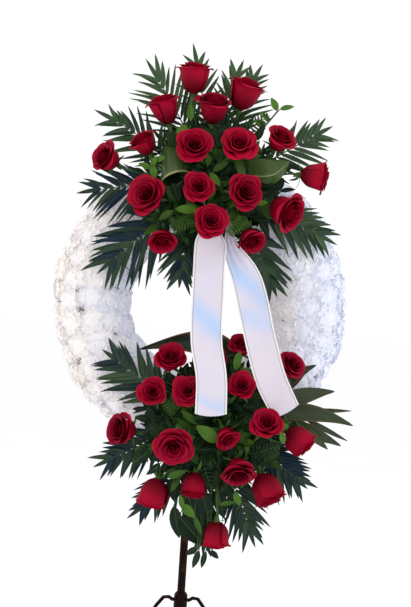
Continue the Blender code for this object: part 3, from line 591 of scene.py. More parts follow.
# %% [markdown]
# The tube of the ring is 194 mm across and flat at the back. Seven rows of heads follow its
# section from the outer back edge to the inner one, each row with as many heads as fit round
# it. The two outer rows stand in line and vary more in size, so the outline of the ring is
# scalloped. Heads that would stand where the foam of a spray is strapped on are left out.

# %% Carnations on the ring
RING_RADIUS = 0.260
ROW_REACH = 0.085
HEAD_RADIUS = 0.0405
HEAD_FLATNESS = 0.80
OUTER_FLATNESS = 0.17
HEAD_FOOT = 0.0700
HEAD_SPACING = 0.055
OUTWARD = 0.003
HEAD_ROWS = (-9, 24, 57, 90, 123, 156, 189)
HEAD_SHIFTS = (0.5, 0.5, 0.0, 0.5, 0.0, 0.5, 0.0)
FRONT_ROWS = (50, 130)
OUTER_ROWS = 2
OUTER_VARIETY = 2.2
# painted light: how much cooler a head is painted for facing right and for standing on the right
PAINTED_COOL_LIGHT_BY_FACING = 0.42
PAINTED_COOL_LIGHT_BY_PLACE = 0.62
FOAM_BACK = 0.088
FOAM_FRONT = 0.150
FOAM_HALF_WIDTH = 0.080
FOAM_HALF_HEIGHT = 0.064
FOAM_INSET = 0.005
UPPER_FOAM = (0.010, 0.270)
LOWER_FOAM = (0.050, -0.275)


def behind_foam(point):
    return any(abs(point.x - x) < FOAM_HALF_WIDTH - FOAM_INSET
               and abs(point.z - z) < FOAM_HALF_HEIGHT - FOAM_INSET
               for x, z in (UPPER_FOAM, LOWER_FOAM))


def axis_matrix(axis, spin):
    """A turn that brings +Z to the axis, after a spin about it."""
    return Vector((0, 0, 1)).rotation_difference(axis).to_matrix() @ Matrix.Rotation(spin, 3, "Z")


def tube_ways(turn, tilt):
    """The ways out from the ring's middle and out of its tube, at a turn round it and a tilt."""
    outwards = Vector((math.sin(turn), 0, math.cos(turn)))
    return outwards, outwards * math.cos(tilt) + Vector((0, -math.sin(tilt), 0))


heads = random.Random(8)
feet = []
for row, degrees in enumerate(HEAD_ROWS):
    slope = math.radians(degrees)
    count = round(math.tau * (RING_RADIUS + ROW_REACH * math.cos(slope)) / HEAD_SPACING)
    variety = OUTER_VARIETY if row < OUTER_ROWS else 1.0
    heap = Heap()
    for i in range(count):
        turn = math.tau * (i + HEAD_SHIFTS[row] + heads.uniform(-0.08, 0.08)) / count
        tilt = slope + heads.uniform(-0.07, 0.07)
        outwards, normal = tube_ways(turn, tilt)
        outer = max(math.cos(tilt), 0.0)
        rise = HEAD_FOOT + heads.uniform(-0.003, 0.001) + OUTWARD * outer
        foot = outwards * RING_RADIUS + normal * rise
        size = HEAD_RADIUS * (1 + heads.uniform(-0.07, 0.05) * variety)
        lean = normal + Vector([heads.uniform(-0.12, 0.12) for _ in range(3)])
        points, faces, places, shades = FLOWERS[heads.randrange(len(FLOWERS))]
        turned = axis_matrix(lean.normalized(), heads.uniform(0, math.tau))
        # painted light: heads that face right or stand on the right are painted cooler, those on the left
        # warmer
        tone = heads.uniform(-0.12, 0.12) + PAINTED_COOL_LIGHT_BY_FACING * normal.x + PAINTED_COOL_LIGHT_BY_PLACE * foot.x
        if behind_foam(foot) and FRONT_ROWS[0] < degrees < FRONT_ROWS[1]:
            continue
        feet.append(foot)
        flat = HEAD_FLATNESS + OUTER_FLATNESS * outer
        points = points * (size, size, size * flat) @ np.array(turned).T
        heap.add(points + np.array(CENTRE + foot), faces, places, shades + tone)
    heap.make(f"carnations_{row + 1}", white_petal, "white_petals", "carnation_ring")
print("heads:", len(feet))

# %% [markdown]
# Thirty-four roses stand in the two sprays. Each row below gives where the middle of a head
# is, how wide it is, and how it faces: lean is the way the face tips in the plane of the
# wreath, from 0 for up to 90 for right, and forward is how far it turns to the viewer. Lengths
# are in millimetres and angles in degrees. The solids stand in the same places, and all but two
# face the same way: the sixth above and the eighth below turn more to the viewer here.

# %% Where the roses are
MM = 1000
TENTH = 10000


def table(text, *units):
    """Rows of whole numbers, a row on each line, with each column divided by its unit."""
    rows = (line.split() for line in text.strip().splitlines())
    return [tuple(int(word) / unit for word, unit in zip(row, units)) for row in rows]


# across, out and up of the middle, width, lean and forward
ROSE_UNITS = (MM, MM, MM, MM, 1, 1)
UPPER_ROSES = table("""
-45 172 515 74 0 10
72 174 486 78 15 15
-108 172 440 72 -20 15
2 188 444 70 5 30
-150 174 356 54 -35 25
-230 174 314 72 -70 42
-34 245 344 78 0 78
62 235 352 78 10 65
156 188 380 68 30 45
246 172 306 68 92 5
-128 215 231 86 -65 68
-18 265 252 68 -20 78
80 245 248 79 60 70
180 192 222 77 120 38
10 250 181 74 60 75
-92 190 139 64 180 48
106 186 154 66 150 40
""", *ROSE_UNITS)
LOWER_ROSES = table("""
-57 180 -131 70 0 50
-92 198 -207 64 -30 72
-13 205 -200 70 -20 70
31 180 -126 70 0 50
100 172 -92 60 0 40
104 215 -179 62 0 65
213 172 -130 66 45 45
-154 174 -298 76 -80 45
-37 245 -312 84 180 72
78 225 -291 58 150 45
165 240 -258 70 -10 55
248 172 -296 70 125 10
109 215 -366 74 170 45
-79 172 -441 73 -165 5
15 188 -413 60 180 20
181 174 -415 77 152 15
72 172 -526 64 178 5
""", *ROSE_UNITS)
SPRAYS = (("upper", UPPER_ROSES, UPPER_FOAM), ("lower", LOWER_ROSES, LOWER_FOAM))
ROSE_HEIGHT = 1.55
BUD_HEIGHT = 1.85
LOWER_SHADE = 0.22
BUD_FORWARD = 40


def is_bud(row):
    """Blooms seen from the side are less open, and longer, than those that face the viewer."""
    return row[5] < BUD_FORWARD


def rose_place(row):
    """The middle of a head, its radius, the way it faces, and the point where its stem ends."""
    across, out, up, width, lean, forward = row
    lean, forward = math.radians(lean), math.radians(forward)
    flat = math.cos(forward)
    axis = Vector((math.sin(lean) * flat, -math.sin(forward), math.cos(lean) * flat))
    middle = on_wreath(across, out, up)
    height = BUD_HEIGHT if is_bud(row) else ROSE_HEIGHT
    return middle, width / 2, axis, middle - axis * width / 2 * (height - ROSE_HEIGHT / 2)


print("roses:", len(UPPER_ROSES), "above and", len(LOWER_ROSES), "below")

# %% [markdown]
# A rose is a spiral of petals: tight rolls in the middle, then rounder ones whose rims turn
# out. A petal here is a grid wrapped round the axis of the bloom. It starts narrow at the
# foot, swells, and its rim rolls out and down while its corners drop, which gives the pointed
# look of a real outer petal. One side edge tucks under the next petal and the other lies over
# it. Blooms seen from the side are longer and less open, those that hang from the lower spray
# more closed still, and all the lower ones are a little darker, as they stand in shade.

# %% One rose
PETAL_SIDE, PETAL_LENGTH, PETAL_FACES = grid(12, 11)
PETAL_LENGTH = 1 - (1 - PETAL_LENGTH) ** 1.5
PETAL = (PETAL_SIDE, PETAL_LENGTH, PETAL_FACES)
PETALS = 25
SIDE_GROWTH = 1.12
LEAST_OPEN = 0.62
# fullness, drop of the corners, where the roll starts, how far it turns in degrees, how fast
# that fades inwards, height, height of the outer rim against it, and how far the rim leans out
OPEN_FORM = (0.69, 0.27, 0.70, 125, 1.2, ROSE_HEIGHT, 0.88, 0.26)
SIDE_FORM = (0.70, 0.24, 0.82, 250, 3.0, BUD_HEIGHT / SIDE_GROWTH, 0.95, 0.62)
HANGING_FORM = (0.76, 0.24, 0.82, 150, 3.0, BUD_HEIGHT / SIDE_GROWTH, 0.95, 0.16)


def rose_petal(turn, widest, tall, lean, roll, start, half, phase, tip, drop):
    """Points of one petal of a rose of radius 1. Lengths are shares of the radius, angles radians."""
    side = np.abs(PETAL_SIDE)
    rise = PETAL_LENGTH * (1 - drop * side**2.6 + tip * np.maximum(1 - 2 * side, 0) ** 1.5)
    swell = np.sin(np.minimum(rise / 0.5, 1) * math.pi / 2) ** 0.8
    reach = 0.13 + (widest - 0.13) * swell + lean * np.maximum(rise - 0.45, 0)
    height = tall * np.minimum(rise, start) ** 1.1
    bow = np.maximum(roll, 0.12) * (1.08 - 0.50 * side**2)
    past = np.maximum(rise - start, 0) / (1 - start)
    coil = tall * (1 - start) / bow
    reach = reach + coil * (1 - np.cos(bow * past))
    height = height + coil * np.sin(bow * past)
    wave = 0.030 * np.sin(3.4 * PETAL_SIDE + phase) * rise**3 + 0.045 * PETAL_SIDE
    spread = half * (0.42 + 0.58 * np.sin(np.minimum(PETAL_LENGTH / 0.55, 1) * math.pi / 2))
    angle = turn + PETAL_SIDE * spread
    reach = np.maximum(reach + wave, 0.012)
    return np.stack([reach * np.cos(angle), reach * np.sin(angle), height], 1)


def rose(row, randomness, open_share):
    """A heap of petals from the outermost in, each at the golden angle from the one before."""
    heap = Heap()
    _, radius, axis, base = rose_place(row)
    lower = row[2] < 0
    form = OPEN_FORM
    if is_bud(row):
        radius = radius * SIDE_GROWTH
        form = HANGING_FORM if lower else SIDE_FORM
    fullness, drop, start, curl, fade, height, rim, flare = form
    turned = np.array(axis_matrix(axis, randomness.uniform(0, math.tau)))
    squash = np.array([randomness.uniform(0.90, 1.0), 1.0, 1.0])
    tone = randomness.uniform(-0.25, 0.25) + (LOWER_SHADE if lower else 0.0)
    for i in range(PETALS):
        share = i / (PETALS - 1)
        petal = rose_petal(
            turn=i * GOLDEN_ANGLE + randomness.uniform(-0.15, 0.15),
            widest=(fullness * (1 - share) ** 1.15 + 0.045) * randomness.uniform(0.95, 1.05),
            tall=height * (rim + (1.02 - rim) * min(share / 0.4, 1.0) + 0.02 * share)
            * randomness.uniform(0.97, 1.03),
            lean=(flare * (1 - share) - 0.20 * share) * open_share,
            roll=math.radians(curl) * (1 - share) ** fade * open_share * randomness.uniform(0.75, 1.2),
            start=start,
            half=math.radians(62 + 60 * share) * randomness.uniform(0.92, 1.08),
            phase=randomness.uniform(0, math.tau),
            tip=randomness.uniform(0.0, 0.07) * max(1 - 2.5 * share, 0.0),
            drop=drop - 0.17 * share)
        points = petal * squash * radius @ turned.T + np.array(base)
        # painted shade: inner petals get a higher shade, so the middle of a bloom is painted darker; the rest
        # is random tone
        shade = 0.25 + 0.5 * share + tone + randomness.uniform(-0.10, 0.10)
        heap.lay(points, PETAL, shade)
    return heap


blooms = random.Random(21)
for part, rows, _ in SPRAYS:
    for number, row in enumerate(rows, 1):
        open_share = blooms.uniform(0.85, 1.15) * (LEAST_OPEN if is_bud(row) else 1.0)
        heap = rose(row, blooms, open_share)
        heap.make(f"bloom_{part}_{number:02d}", red_petal, "red_petals", f"rose_{part}_{number:02d}")

# %% [markdown]
# Each rose stands on its own stem, stuck into a block of wet foam. Under the petals are a
# round green cup and five narrow sepals, which stay close to the petals where a bloom faces
# the viewer and mostly bend away from them where it is seen from the side. They are built from
# the same rows, and the foam is a soft-cornered block strapped to the front of the ring.

# %% Stems, cups, sepals and foam
SEPAL = grid(2, 6)
SEPALS = 5
STEM_RADIUS = 0.0026
STEM_START = 0.036
STEM_START_DEPTH = 0.136
NECK = 0.030
CUP_AT = (-0.013, -0.009, -0.003, 0.002, 0.006)
CUP_RADII = (0.0030, 0.0052, 0.0066, 0.0075, 0.0090)
EDGE_HALF = 0.0004
TIP_HALF = 0.0002


def blade(root, way, face, length, width, sag=0.1, fold=0.15, shape=0.8, cells=SEPAL):
    """A leaf-shaped sheet: pointed at both ends, bent back along its length, folded at the middle."""
    side, along, _ = cells
    root, way, face = (np.array(v, float) for v in (root, way, face))
    across = np.cross(way, face)
    across /= np.linalg.norm(across)
    face = np.cross(across, way)
    half = 0.5 * width * np.maximum(np.sin(math.pi * along**shape), 0.0) ** 0.85 + EDGE_HALF
    half = np.where(along == 1, TIP_HALF, half)
    return (root + way * (length * along)[:, None] + across * (half * side)[:, None]
            + face * (half * np.abs(side) * fold - sag * length * along**2)[:, None])


def stem_start(foam, goal):
    """Where a stem leaves the inside of its foam block on the way to a goal."""
    start = on_wreath(foam[0], STEM_START_DEPTH, foam[1])
    away = Vector((goal.x - start.x, 0, goal.z - start.z))
    return start + away.normalized() * min(STEM_START, away.length * 0.5)


def stem_path(row, foam):
    _, _, axis, base = rose_place(row)
    neck = base - axis * NECK
    start = stem_start(foam, neck)
    return [start, start.lerp(neck, 0.5) - axis * 0.004, neck, base - axis * 0.010, base]


def foam_block(foam):
    """A block with soft corners: rounded outlines of several sizes, one for each depth."""
    levels = [(FOAM_BACK + 0.0003, 0.90), (FOAM_BACK + 0.004, 0.97), (FOAM_BACK + 0.012, 1.0),
              (FOAM_FRONT - 0.012, 1.0), (FOAM_FRONT - 0.003, 0.95), (FOAM_FRONT, 0.86), (FOAM_FRONT, 0.01)]
    corners = 36
    points = []
    for depth, size in levels:
        for k in range(corners):
            turn = math.tau * k / corners
            bulge = (abs(math.cos(turn)) ** 4 + abs(math.sin(turn)) ** 4) ** -0.25
            points.append(on_wreath(foam[0] + FOAM_HALF_WIDTH * size * bulge * math.cos(turn), depth,
                                    foam[1] + FOAM_HALF_HEIGHT * size * bulge * math.sin(turn)))
    faces = [(i * corners + k, i * corners + (k + 1) % corners,
              (i + 1) * corners + (k + 1) % corners, (i + 1) * corners + k)
             for i in range(len(levels) - 1) for k in range(corners)]
    heap = Heap()
    heap.add(np.array(points), np.array(faces), np.zeros((len(points), 2)), 0.5)
    return heap


sepals = random.Random(5)
for part, rows, foam in SPRAYS:
    heap = Heap()
    for row in rows:
        _, _, axis, base = rose_place(row)
        path = curve_through(stem_path(row, foam), 4)
        heap.add(*tube(path, [STEM_RADIUS] * len(path), 8), 0.4)
        heap.add(*tube([base + axis * along for along in CUP_AT], CUP_RADII, 12), 0.3)
        first = axis.orthogonal().normalized()
        for k in range(SEPALS):
            out = Matrix.Rotation(math.tau * k / SEPALS + sepals.uniform(-0.2, 0.2), 3, axis) @ first
            lift = sepals.uniform(-0.9, 0.5) if is_bud(row) else sepals.uniform(0.3, 0.9)
            way = (out + axis * lift).normalized()
            root = base - axis * 0.001 + out * 0.005
            points = blade(root, way, axis, sepals.uniform(0.022, 0.032), 0.0075, sag=0.5, fold=0.3)
            heap.lay(points, SEPAL, sepals.uniform(0, 0.6))
    heap.make(f"stems_{part}", green_stem, "stem_green", f"spray_{part}_stems")
    foam_block(foam).make(f"foam_{part}", green_foam, "floral_foam", f"spray_{part}_stems")

# %% [markdown]
# The leaves keep clear of the blooms, of the ribbon and of the two bent leaves, so the places
# of those are needed first. Balls are enough to test against: one for each bloom and for the
# rolled leaf, and a line of them along each ribbon tail and along the folded leaf.

# %% Where the ribbon and the bent leaves are
# across, out in tenths of a millimetre, up and width
RIBBON_UNITS = (MM, TENTH, MM, MM)
RIBBON_LEFT = table("""
30 1504 226 16
29 1720 212 20
22 1980 168 34
16 2080 135 72
17 2200 30 74
20 2360 -80 70
36 2520 -160 68
40 2520 -240 70
""", *RIBBON_UNITS)
RIBBON_RIGHT = table("""
52 1504 228 14
54 1700 210 14
56 1900 168 16
63 1980 130 36
104 2060 55 68
141 2120 -73 70
170 2140 -159 70
208 2060 -228 66
""", *RIBBON_UNITS)
LOOP_MIDDLE = (-0.080, 0.182, 0.302)
LOOP_RADIUS = 0.031
LOOP_AXIS = Vector((0.22, -0.50, -0.84)).normalized()
# the room that the folded leaf needs, and the line of its ridge: across, out, up
FOLD_ROOM = table("""
62 1512 300
100 1840 318
135 2000 322
166 2040 308
190 1980 286
""", *RIBBON_UNITS)
RIDGE_LINE = table("""
62 1512 300
94 1900 296
120 2060 293
146 2120 298
168 2080 316
187 1980 338
""", *RIBBON_UNITS)
BLOOM_ROOM = 1.10
RIBBON_ROOM = 0.004
LOOP_ROOM = 0.020
FOLD_RADIUS = 0.026

kept_clear = []
for row in UPPER_ROSES + LOWER_ROSES:
    middle, radius, _, _ = rose_place(row)
    kept_clear.append((middle, radius * BLOOM_ROOM))
for tail in (RIBBON_LEFT, RIBBON_RIGHT):
    for row, after in zip(tail, tail[1:]):
        for share in (0.0, 0.33, 0.66):
            across, out, up, width = (p * (1 - share) + q * share for p, q in zip(row, after))
            kept_clear.append((on_wreath(across, out, up), width / 2 + RIBBON_ROOM))
kept_clear.append((on_wreath(*LOOP_MIDDLE), LOOP_RADIUS + LOOP_ROOM))
kept_clear += [(on_wreath(*point), FOLD_RADIUS) for point in FOLD_ROOM]
print("kept clear:", len(kept_clear), "balls")

# %% [markdown]
# The gaps between the roses are filled with short twigs of small pointed leaves. Their feet
# are in the foam and their tips fan out as a spray does. A seeded rule sets them, and a leaf
# whose middle or tip comes too near a ball is dropped, as a florist would cut it. The leaves
# that can be made out one by one in the picture are listed, each by its foot and its tip, and
# so are the small ferns and the dark leaves deep between the lower roses, whose darkness is
# painted shade.

# %% Small leaves
LEAF = grid(4, 8)
FERN = grid(2, 4)
FERN_PAIRS = 5
TO_FRONT = Vector((0, -1, 0))
# foot across and up, tip across and up, depth and width in millimetres, and the shade from 0,
# light, to 10, dark; the darkest, deep in the lower spray, are dark as painted shade
LEAF_UNITS = (MM, MM, MM, MM, MM, MM, 10)
LISTED_LEAVES = {"upper": table("""
-49 408 -49 453 185 16 1
-79 382 -45 400 190 17 2
-3 309 6 347 215 16 3
10 296 44 321 215 16 4
3 293 29 264 220 16 1
82 287 57 330 215 20 5
77 288 98 279 220 13 0
-67 205 -11 206 235 21 1
-102 181 -72 205 215 16 5
-81 191 -64 165 210 16 7
-130 297 -158 308 190 15 0
-129 301 -118 326 190 15 1
-127 304 -118 273 195 17 1
-121 315 -97 327 190 14 0
116 229 137 237 210 13 2
148 448 132 477 176 16 1
153 452 185 461 176 13 2
131 425 109 442 176 14 2
123 407 99 426 176 14 3
-79 265 -59 225 200 22 9
""", *LEAF_UNITS), "lower": table("""
90 -145 97 -98 200 18 3
103 -138 141 -159 205 18 4
12 -271 -27 -241 200 16 4
62 -306 10 -271 215 30 0
-47 -395 -6 -376 200 16 4
-13 -458 21 -484 178 22 0
-10 -466 -16 -434 178 12 1
106 -419 120 -449 190 16 3
74 -452 112 -443 180 10 4
17 -482 40 -527 170 12 4
30 -557 5 -575 160 14 8
35 -563 23 -605 160 15 9
51 -564 42 -603 160 13 8
60 -563 81 -578 160 13 9
193 -262 213 -257 235 16 0
205 -297 198 -270 235 14 0
-15 -495 47 -555 140 45 10
-30 -470 -12 -545 135 30 10
-12 -410 16 -480 145 36 10
30 -430 58 -500 145 36 9
12 -450 30 -520 142 34 10
-30 -400 -30 -460 142 34 9
70 -430 88 -490 142 32 10
40 -480 44 -530 140 30 10
-12 -222 -34 -146 150 42 10
-26 -224 -66 -160 148 36 9
6 -218 -6 -138 152 38 10
60 -216 72 -140 150 38 9
86 -218 112 -154 150 36 10
""", *LEAF_UNITS)}
# the same for the ferns, with the depth of the tip and the shade to 100
FERN_UNITS = (MM, MM, MM, MM, MM, 100)
FERNS = {"upper": table("""
100 212 55 158 200 35
-20 200 -74 160 205 50
70 395 132 436 178 60
-60 330 -95 385 180 70
120 260 150 200 185 60
""", *FERN_UNITS), "lower": table("""
-15 -265 -68 -222 195 50
20 -335 56 -424 190 95
128 -335 200 -306 205 80
-80 -330 -130 -372 185 80
120 -235 150 -175 190 70
""", *FERN_UNITS)}


def add_fern(leaves, stems, root, tip, shade):
    """A small fern: a bent rib with short leaflets that get shorter towards the tip."""
    way = tip - root
    middle = root.lerp(tip, 0.5) + Vector((0, -0.010, 0))
    path = [Vector(point) for point in curve_through([root, middle, tip], FERN_PAIRS)]
    stems.add(*tube(path, [0.0009] * len(path), 4), 0.3)
    square = way.cross(TO_FRONT).normalized()
    for i in range(2, len(path) - 1):
        long = 0.026 * (1 - 0.75 * (i / len(path)) ** 1.5)
        for side in (-1, 1):
            run = (way.normalized() * 0.45 + square * side + Vector((0, 0.12, 0))).normalized()
            leaves.lay(blade(path[i], run, TO_FRONT, long, 0.0042, 0.1, 0.2, 0.7, FERN), FERN, shade)


def is_clear(point):
    return all((point - ball).length > room for ball, room in kept_clear)


def add_leaf(heap, root, way, face, length, width, shade, sag):
    heap.lay(blade(root, way, face, length, width, sag, 0.25, 0.85, LEAF), LEAF, shade)


def shaken(randomness, most):
    """A small random step, the same each run."""
    return Vector([randomness.uniform(-most, most) for _ in range(3)])


def twig(leaves, stems, start, end, randomness, shade):
    """A bent stem with leaves on both sides and one at its tip."""
    sag = Vector((randomness.uniform(-0.012, 0.012), 0, randomness.uniform(-0.012, 0.012)))
    path = [Vector(point) for point in curve_through([start, start.lerp(end, 0.5) + sag, end], 4)]
    grown = False
    for i in range(2, len(path)):
        run = (path[i] - path[i - 1]).normalized()
        square = run.cross(TO_FRONT).normalized()
        for side in (-1, 1) if i < len(path) - 1 else (0,):
            face = (TO_FRONT + shaken(randomness, 0.7)).normalized()
            way = (run * randomness.uniform(0.5, 1.0) + square * side + face * 0.2).normalized()
            length = randomness.uniform(0.028, 0.044)
            width = length * randomness.uniform(0.34, 0.46)
            tone = shade + randomness.uniform(-0.15, 0.15)
            if is_clear(path[i] + way * length * 0.3) and is_clear(path[i] + way * length * 0.9):
                add_leaf(leaves, path[i], way, face, length, width, tone, randomness.uniform(0.0, 0.3))
                grown = True
    if grown:
        stems.add(*tube(path, [0.0012] * len(path), 5), 0.4)


def leaf_stem(stems, foam, root):
    """A thin stem from the foam, behind the blooms, to the foot of a leaf."""
    start = stem_start(foam, root)
    path = curve_through([start, start.lerp(root, 0.6) + Vector((0, 0.008, 0)), root], 4)
    stems.add(*tube(path, [0.0013] * len(path), 5), 0.3)


TWIGS = 120
TWIG_SEED = 35
TWIG_REACH = (0.165, 0.145)
TWIG_FEET = (0.060, 0.048)
TWIG_DEPTHS = (0.172, 0.205)
FRONT_TONES = (0.45, 0.7, 0.85, 1.0)
# the back twigs lie deeper, and their darker tones are painted shade
BACK_TONES_IN_PAINTED_SHADE = (0.9, 1.0)
for part, rows, foam in SPRAYS:
    leaves, stems = Heap(), Heap()
    randomness = random.Random(TWIG_SEED + rows[0][2])
    for i in range(TWIGS):
        far = math.sqrt((i + 0.5) / TWIGS)
        across, up = far * math.sin(i * GOLDEN_ANGLE), far * math.cos(i * GOLDEN_ANGLE)
        depth = TWIG_DEPTHS[i % 2] - 0.035 * far
        goal = on_wreath(foam[0] + TWIG_REACH[0] * across, depth, foam[1] + TWIG_REACH[1] * up)
        start = on_wreath(foam[0] + TWIG_FEET[0] * across, 0.145, foam[1] + TWIG_FEET[1] * up)
        twig(leaves, stems, start, goal, randomness, randomness.choice(FRONT_TONES if i % 2 else BACK_TONES_IN_PAINTED_SHADE))
    for across, up, tip_across, tip_up, out, width, shade in LISTED_LEAVES[part]:
        root, tip = on_wreath(across, out, up), on_wreath(tip_across, out + 0.004, tip_up)
        way = tip - root
        face = (TO_FRONT + Vector((randomness.uniform(-0.3, 0.3), 0, 0.4))).normalized()
        add_leaf(leaves, root, way.normalized(), face, way.length, width, shade, 0.08)
        leaf_stem(stems, foam, root)
        stems.add(*tube([root, root + way * 0.1, root + way * 0.25], [0.0012, 0.0010, 0.0006], 5), 0.2)
    for across, up, tip_across, tip_up, out, shade in FERNS[part]:
        root, tip = on_wreath(across, out - 0.02, up), on_wreath(tip_across, out, tip_up)
        add_fern(leaves, stems, root, tip, shade)
        leaf_stem(stems, foam, root)
    leaves.make(f"leaves_{part}", small_leaf, "leaf_green", f"spray_{part}_stems")
    stems.make(f"twigs_{part}", green_stem, "stem_green", f"spray_{part}_stems")

# %% [markdown]
# The palm fronds fan out behind the flowers. Each has an arched rib and narrow pointed
# leaflets that leave it in pairs, folded along their middle and drooping at their tips. The
# fronds here are a little longer than their solids, with more and finer leaflets on the same
# form. The fourth one at the top has no solid of its own.

# %% Palm fronds
# across and up of the rib's root in tenths of a millimetre, the same of its middle and tip in
# millimetres, the three depths, the length of the longest leaflet, the pairs of leaflets in
# the solid, and how dark they are, which is partly painted light: from below 0, where light comes
# through, to 100, nearly navy, where most of the painted sky reflection shows
FROND_UNITS = (TENTH, TENTH, MM, MM, MM, MM, MM, MM, MM, MM, 1, 100)
FRONDS = {
    "palm_upper_top": """
-200 3366 -80 438 -152 548 112 114 100 112 8 -10
60 3368 -20 462 -50 588 112 112 100 80 7 -20
320 3366 60 448 105 552 112 114 100 85 7 -10
180 3300 34 452 62 556 118 122 110 80 7 -20
""",
    "palm_upper_left": """
-718 2960 -150 366 -258 424 122 131 120 85 8 40
-722 2620 -172 262 -288 242 122 112 100 95 8 85
""",
    "palm_upper_low_left": """
-600 2085 -142 148 -230 66 122 128 112 110 9 75
-200 2045 -40 130 -48 46 122 124 112 75 7 65
""",
    "palm_upper_low_right": """
801 2041 128 126 172 40 122 126 112 82 8 55
946 2266 190 206 296 164 122 112 100 90 8 40
""",
    "palm_upper_right": """
858 3060 178 366 268 424 114 124 110 85 8 25
""",
    "palm_lower_left": """
-320 -2520 -118 -188 -206 -132 122 126 112 98 8 62
-320 -2980 -116 -340 -210 -392 122 110 100 80 7 85
""",
    "palm_lower_bottom": """
120 -3405 -48 -420 -126 -500 114 118 108 70 6 75
460 -3413 44 -460 46 -570 114 124 110 70 7 70
800 -3408 118 -440 160 -545 114 116 106 80 8 70
""",
    "palm_lower_right": """
1272 -3040 196 -352 268 -408 112 120 108 80 7 85
""",
}
LEAFLET = grid(2, 9)
RIB_CELLS = 20
RIB_RADIUS = 0.0024
PAIRS_MORE = 1.4
FIRST_LEAFLET = 0.16
RIB_END = 0.80
LEAFLET_WIDTH = 0.0105
BROADER = 1.35
NARROW_FRONDS = ("palm_upper_top", "palm_upper_left", "palm_upper_right")
FROND_GROWTH = 1.09
DROOP = 0.15


def bend(arc, t):
    """A point of the arc through three points, at t from 0 to 1."""
    root, middle, tip = arc
    return root * (1 - t) * (1 - 2 * t) + middle * 4 * t * (1 - t) + tip * t * (2 * t - 1)


def rib_points(row):
    """Root, middle and tip of a row: three places across and up, then their depths."""
    return [on_wreath(row[2 * i], row[6 + i], row[2 * i + 1]) for i in range(3)]


def grown(points):
    root = points[0]
    return [root + (point - root) * FROND_GROWTH for point in points]


def add_frond(heap, row, randomness, broad):
    arc = grown(rib_points(row))
    length, pairs, tone = row[9], round(row[10] * PAIRS_MORE), row[11]
    rib = [bend(arc, t / RIB_CELLS) for t in range(RIB_CELLS)] + [arc[2]]
    radii = [RIB_RADIUS * (1 - 0.75 * i / RIB_CELLS) for i in range(RIB_CELLS + 1)]
    heap.add(*tube(rib, radii, 6), 0.25)
    for i in range(pairs):
        along = (i + 0.5) / pairs
        t = RIB_END * (FIRST_LEAFLET + (1 - FIRST_LEAFLET) * along)
        foot = bend(arc, t)
        run = (bend(arc, t + 0.03) - bend(arc, t - 0.03)).normalized()
        square = Vector((-run.z, 0, run.x)).normalized()
        reach = length * (0.70 + 0.34 * math.sin(math.pi * min(along * 1.25, 1.0))) * (1 - 0.10 * along)
        for side in (-1, 1):
            swing = math.radians(52 - 27 * along + randomness.uniform(-7, 7))
            way = run * math.cos(swing) + square * side * math.sin(swing)
            way = (way + Vector((0, randomness.uniform(-0.10, 0.04), 0))).normalized()
            face = (TO_FRONT + square * side * -0.35 + shaken(randomness, 0.25)).normalized()
            long = reach * randomness.uniform(0.98, 1.16)
            width = LEAFLET_WIDTH * randomness.uniform(0.8, 1.15) * broad
            sag = randomness.uniform(0.04, 0.14)
            points = blade(foot, way, face, long, width, sag, 0.35, 0.62, LEAFLET)
            curve = run * randomness.uniform(-0.02, 0.16) + Vector((0, 0, -DROOP))
            points = points + np.outer(LEAFLET[1] ** 2 * long, curve)
            heap.lay(points, LEAFLET, tone + randomness.uniform(-0.35, 0.35))
    start = bend(arc, RIB_END)
    end = arc[2] - start
    points = blade(start, end.normalized(), TO_FRONT, end.length, 0.010, 0.05, 0.3, 0.6, LEAFLET)
    heap.lay(points, LEAFLET, tone)


fronds = random.Random(12)
for node, rows in FRONDS.items():
    heap = Heap()
    for row in table(rows, *FROND_UNITS):
        add_frond(heap, row, fronds, 1.0 if node in NARROW_FRONDS else BROADER)
    heap.make(node.replace("palm", "fronds"), palm_leaf, "palm_green", node)

# %% [markdown]
# Here and there a dark green tip shows between the white heads: it belongs to the cup of
# narrow leaves that holds a carnation's petals, and its dark colour is also painted shade for
# the dark gaps between the heads. Random places on the tube are tried, and a tip is kept only
# where every flower is far enough away for it to show. It starts down in the foam, so it
# doesn't hang in the air.

# %% Green tips between the carnations
TIP_TRIES = 1500
TIP_CLEARANCE = 0.0292
TIP_ROOT = 0.066
tips = random.Random(5)
heap = Heap()
kept = 0
for _ in range(TIP_TRIES):
    turn, tilt = tips.uniform(0, math.tau), math.radians(tips.uniform(15, 165))
    length, width, shade = tips.uniform(0.028, 0.034), tips.uniform(0.005, 0.009), tips.uniform(0.7, 1.4)
    outwards, normal = tube_ways(turn, tilt)
    spot = outwards * RING_RADIUS + normal * HEAD_FOOT
    if behind_foam(spot) or min((spot - foot).length for foot in feet) < TIP_CLEARANCE:
        continue
    root = CENTRE + outwards * RING_RADIUS + normal * TIP_ROOT
    across = Vector((math.cos(turn), 0, -math.sin(turn)))
    # painted shade: the tips get a dark shade, for the gaps between the heads
    heap.lay(blade(root, normal, across, length, width, 0.1, 0.3, 1.6), SEPAL, shade)
    kept += 1
heap.make("calyx_tips_and_painted_shade", small_leaf, "leaf_green", "carnation_ring")
print("green tips:", kept)

# %% [markdown]
# Broad leaves stick out at the lower right, and one very long leaf lies along the bottom of
# the hole. Each is one grid laid along a curve, widest near its middle, with a fold at the
# midrib and a slight wave at its sides. Narrower ones stand between them.

# %% Broad leaves
WIDE = grid(8, 28)
WIDE_CELLS = list(zip(*WIDE[:2]))
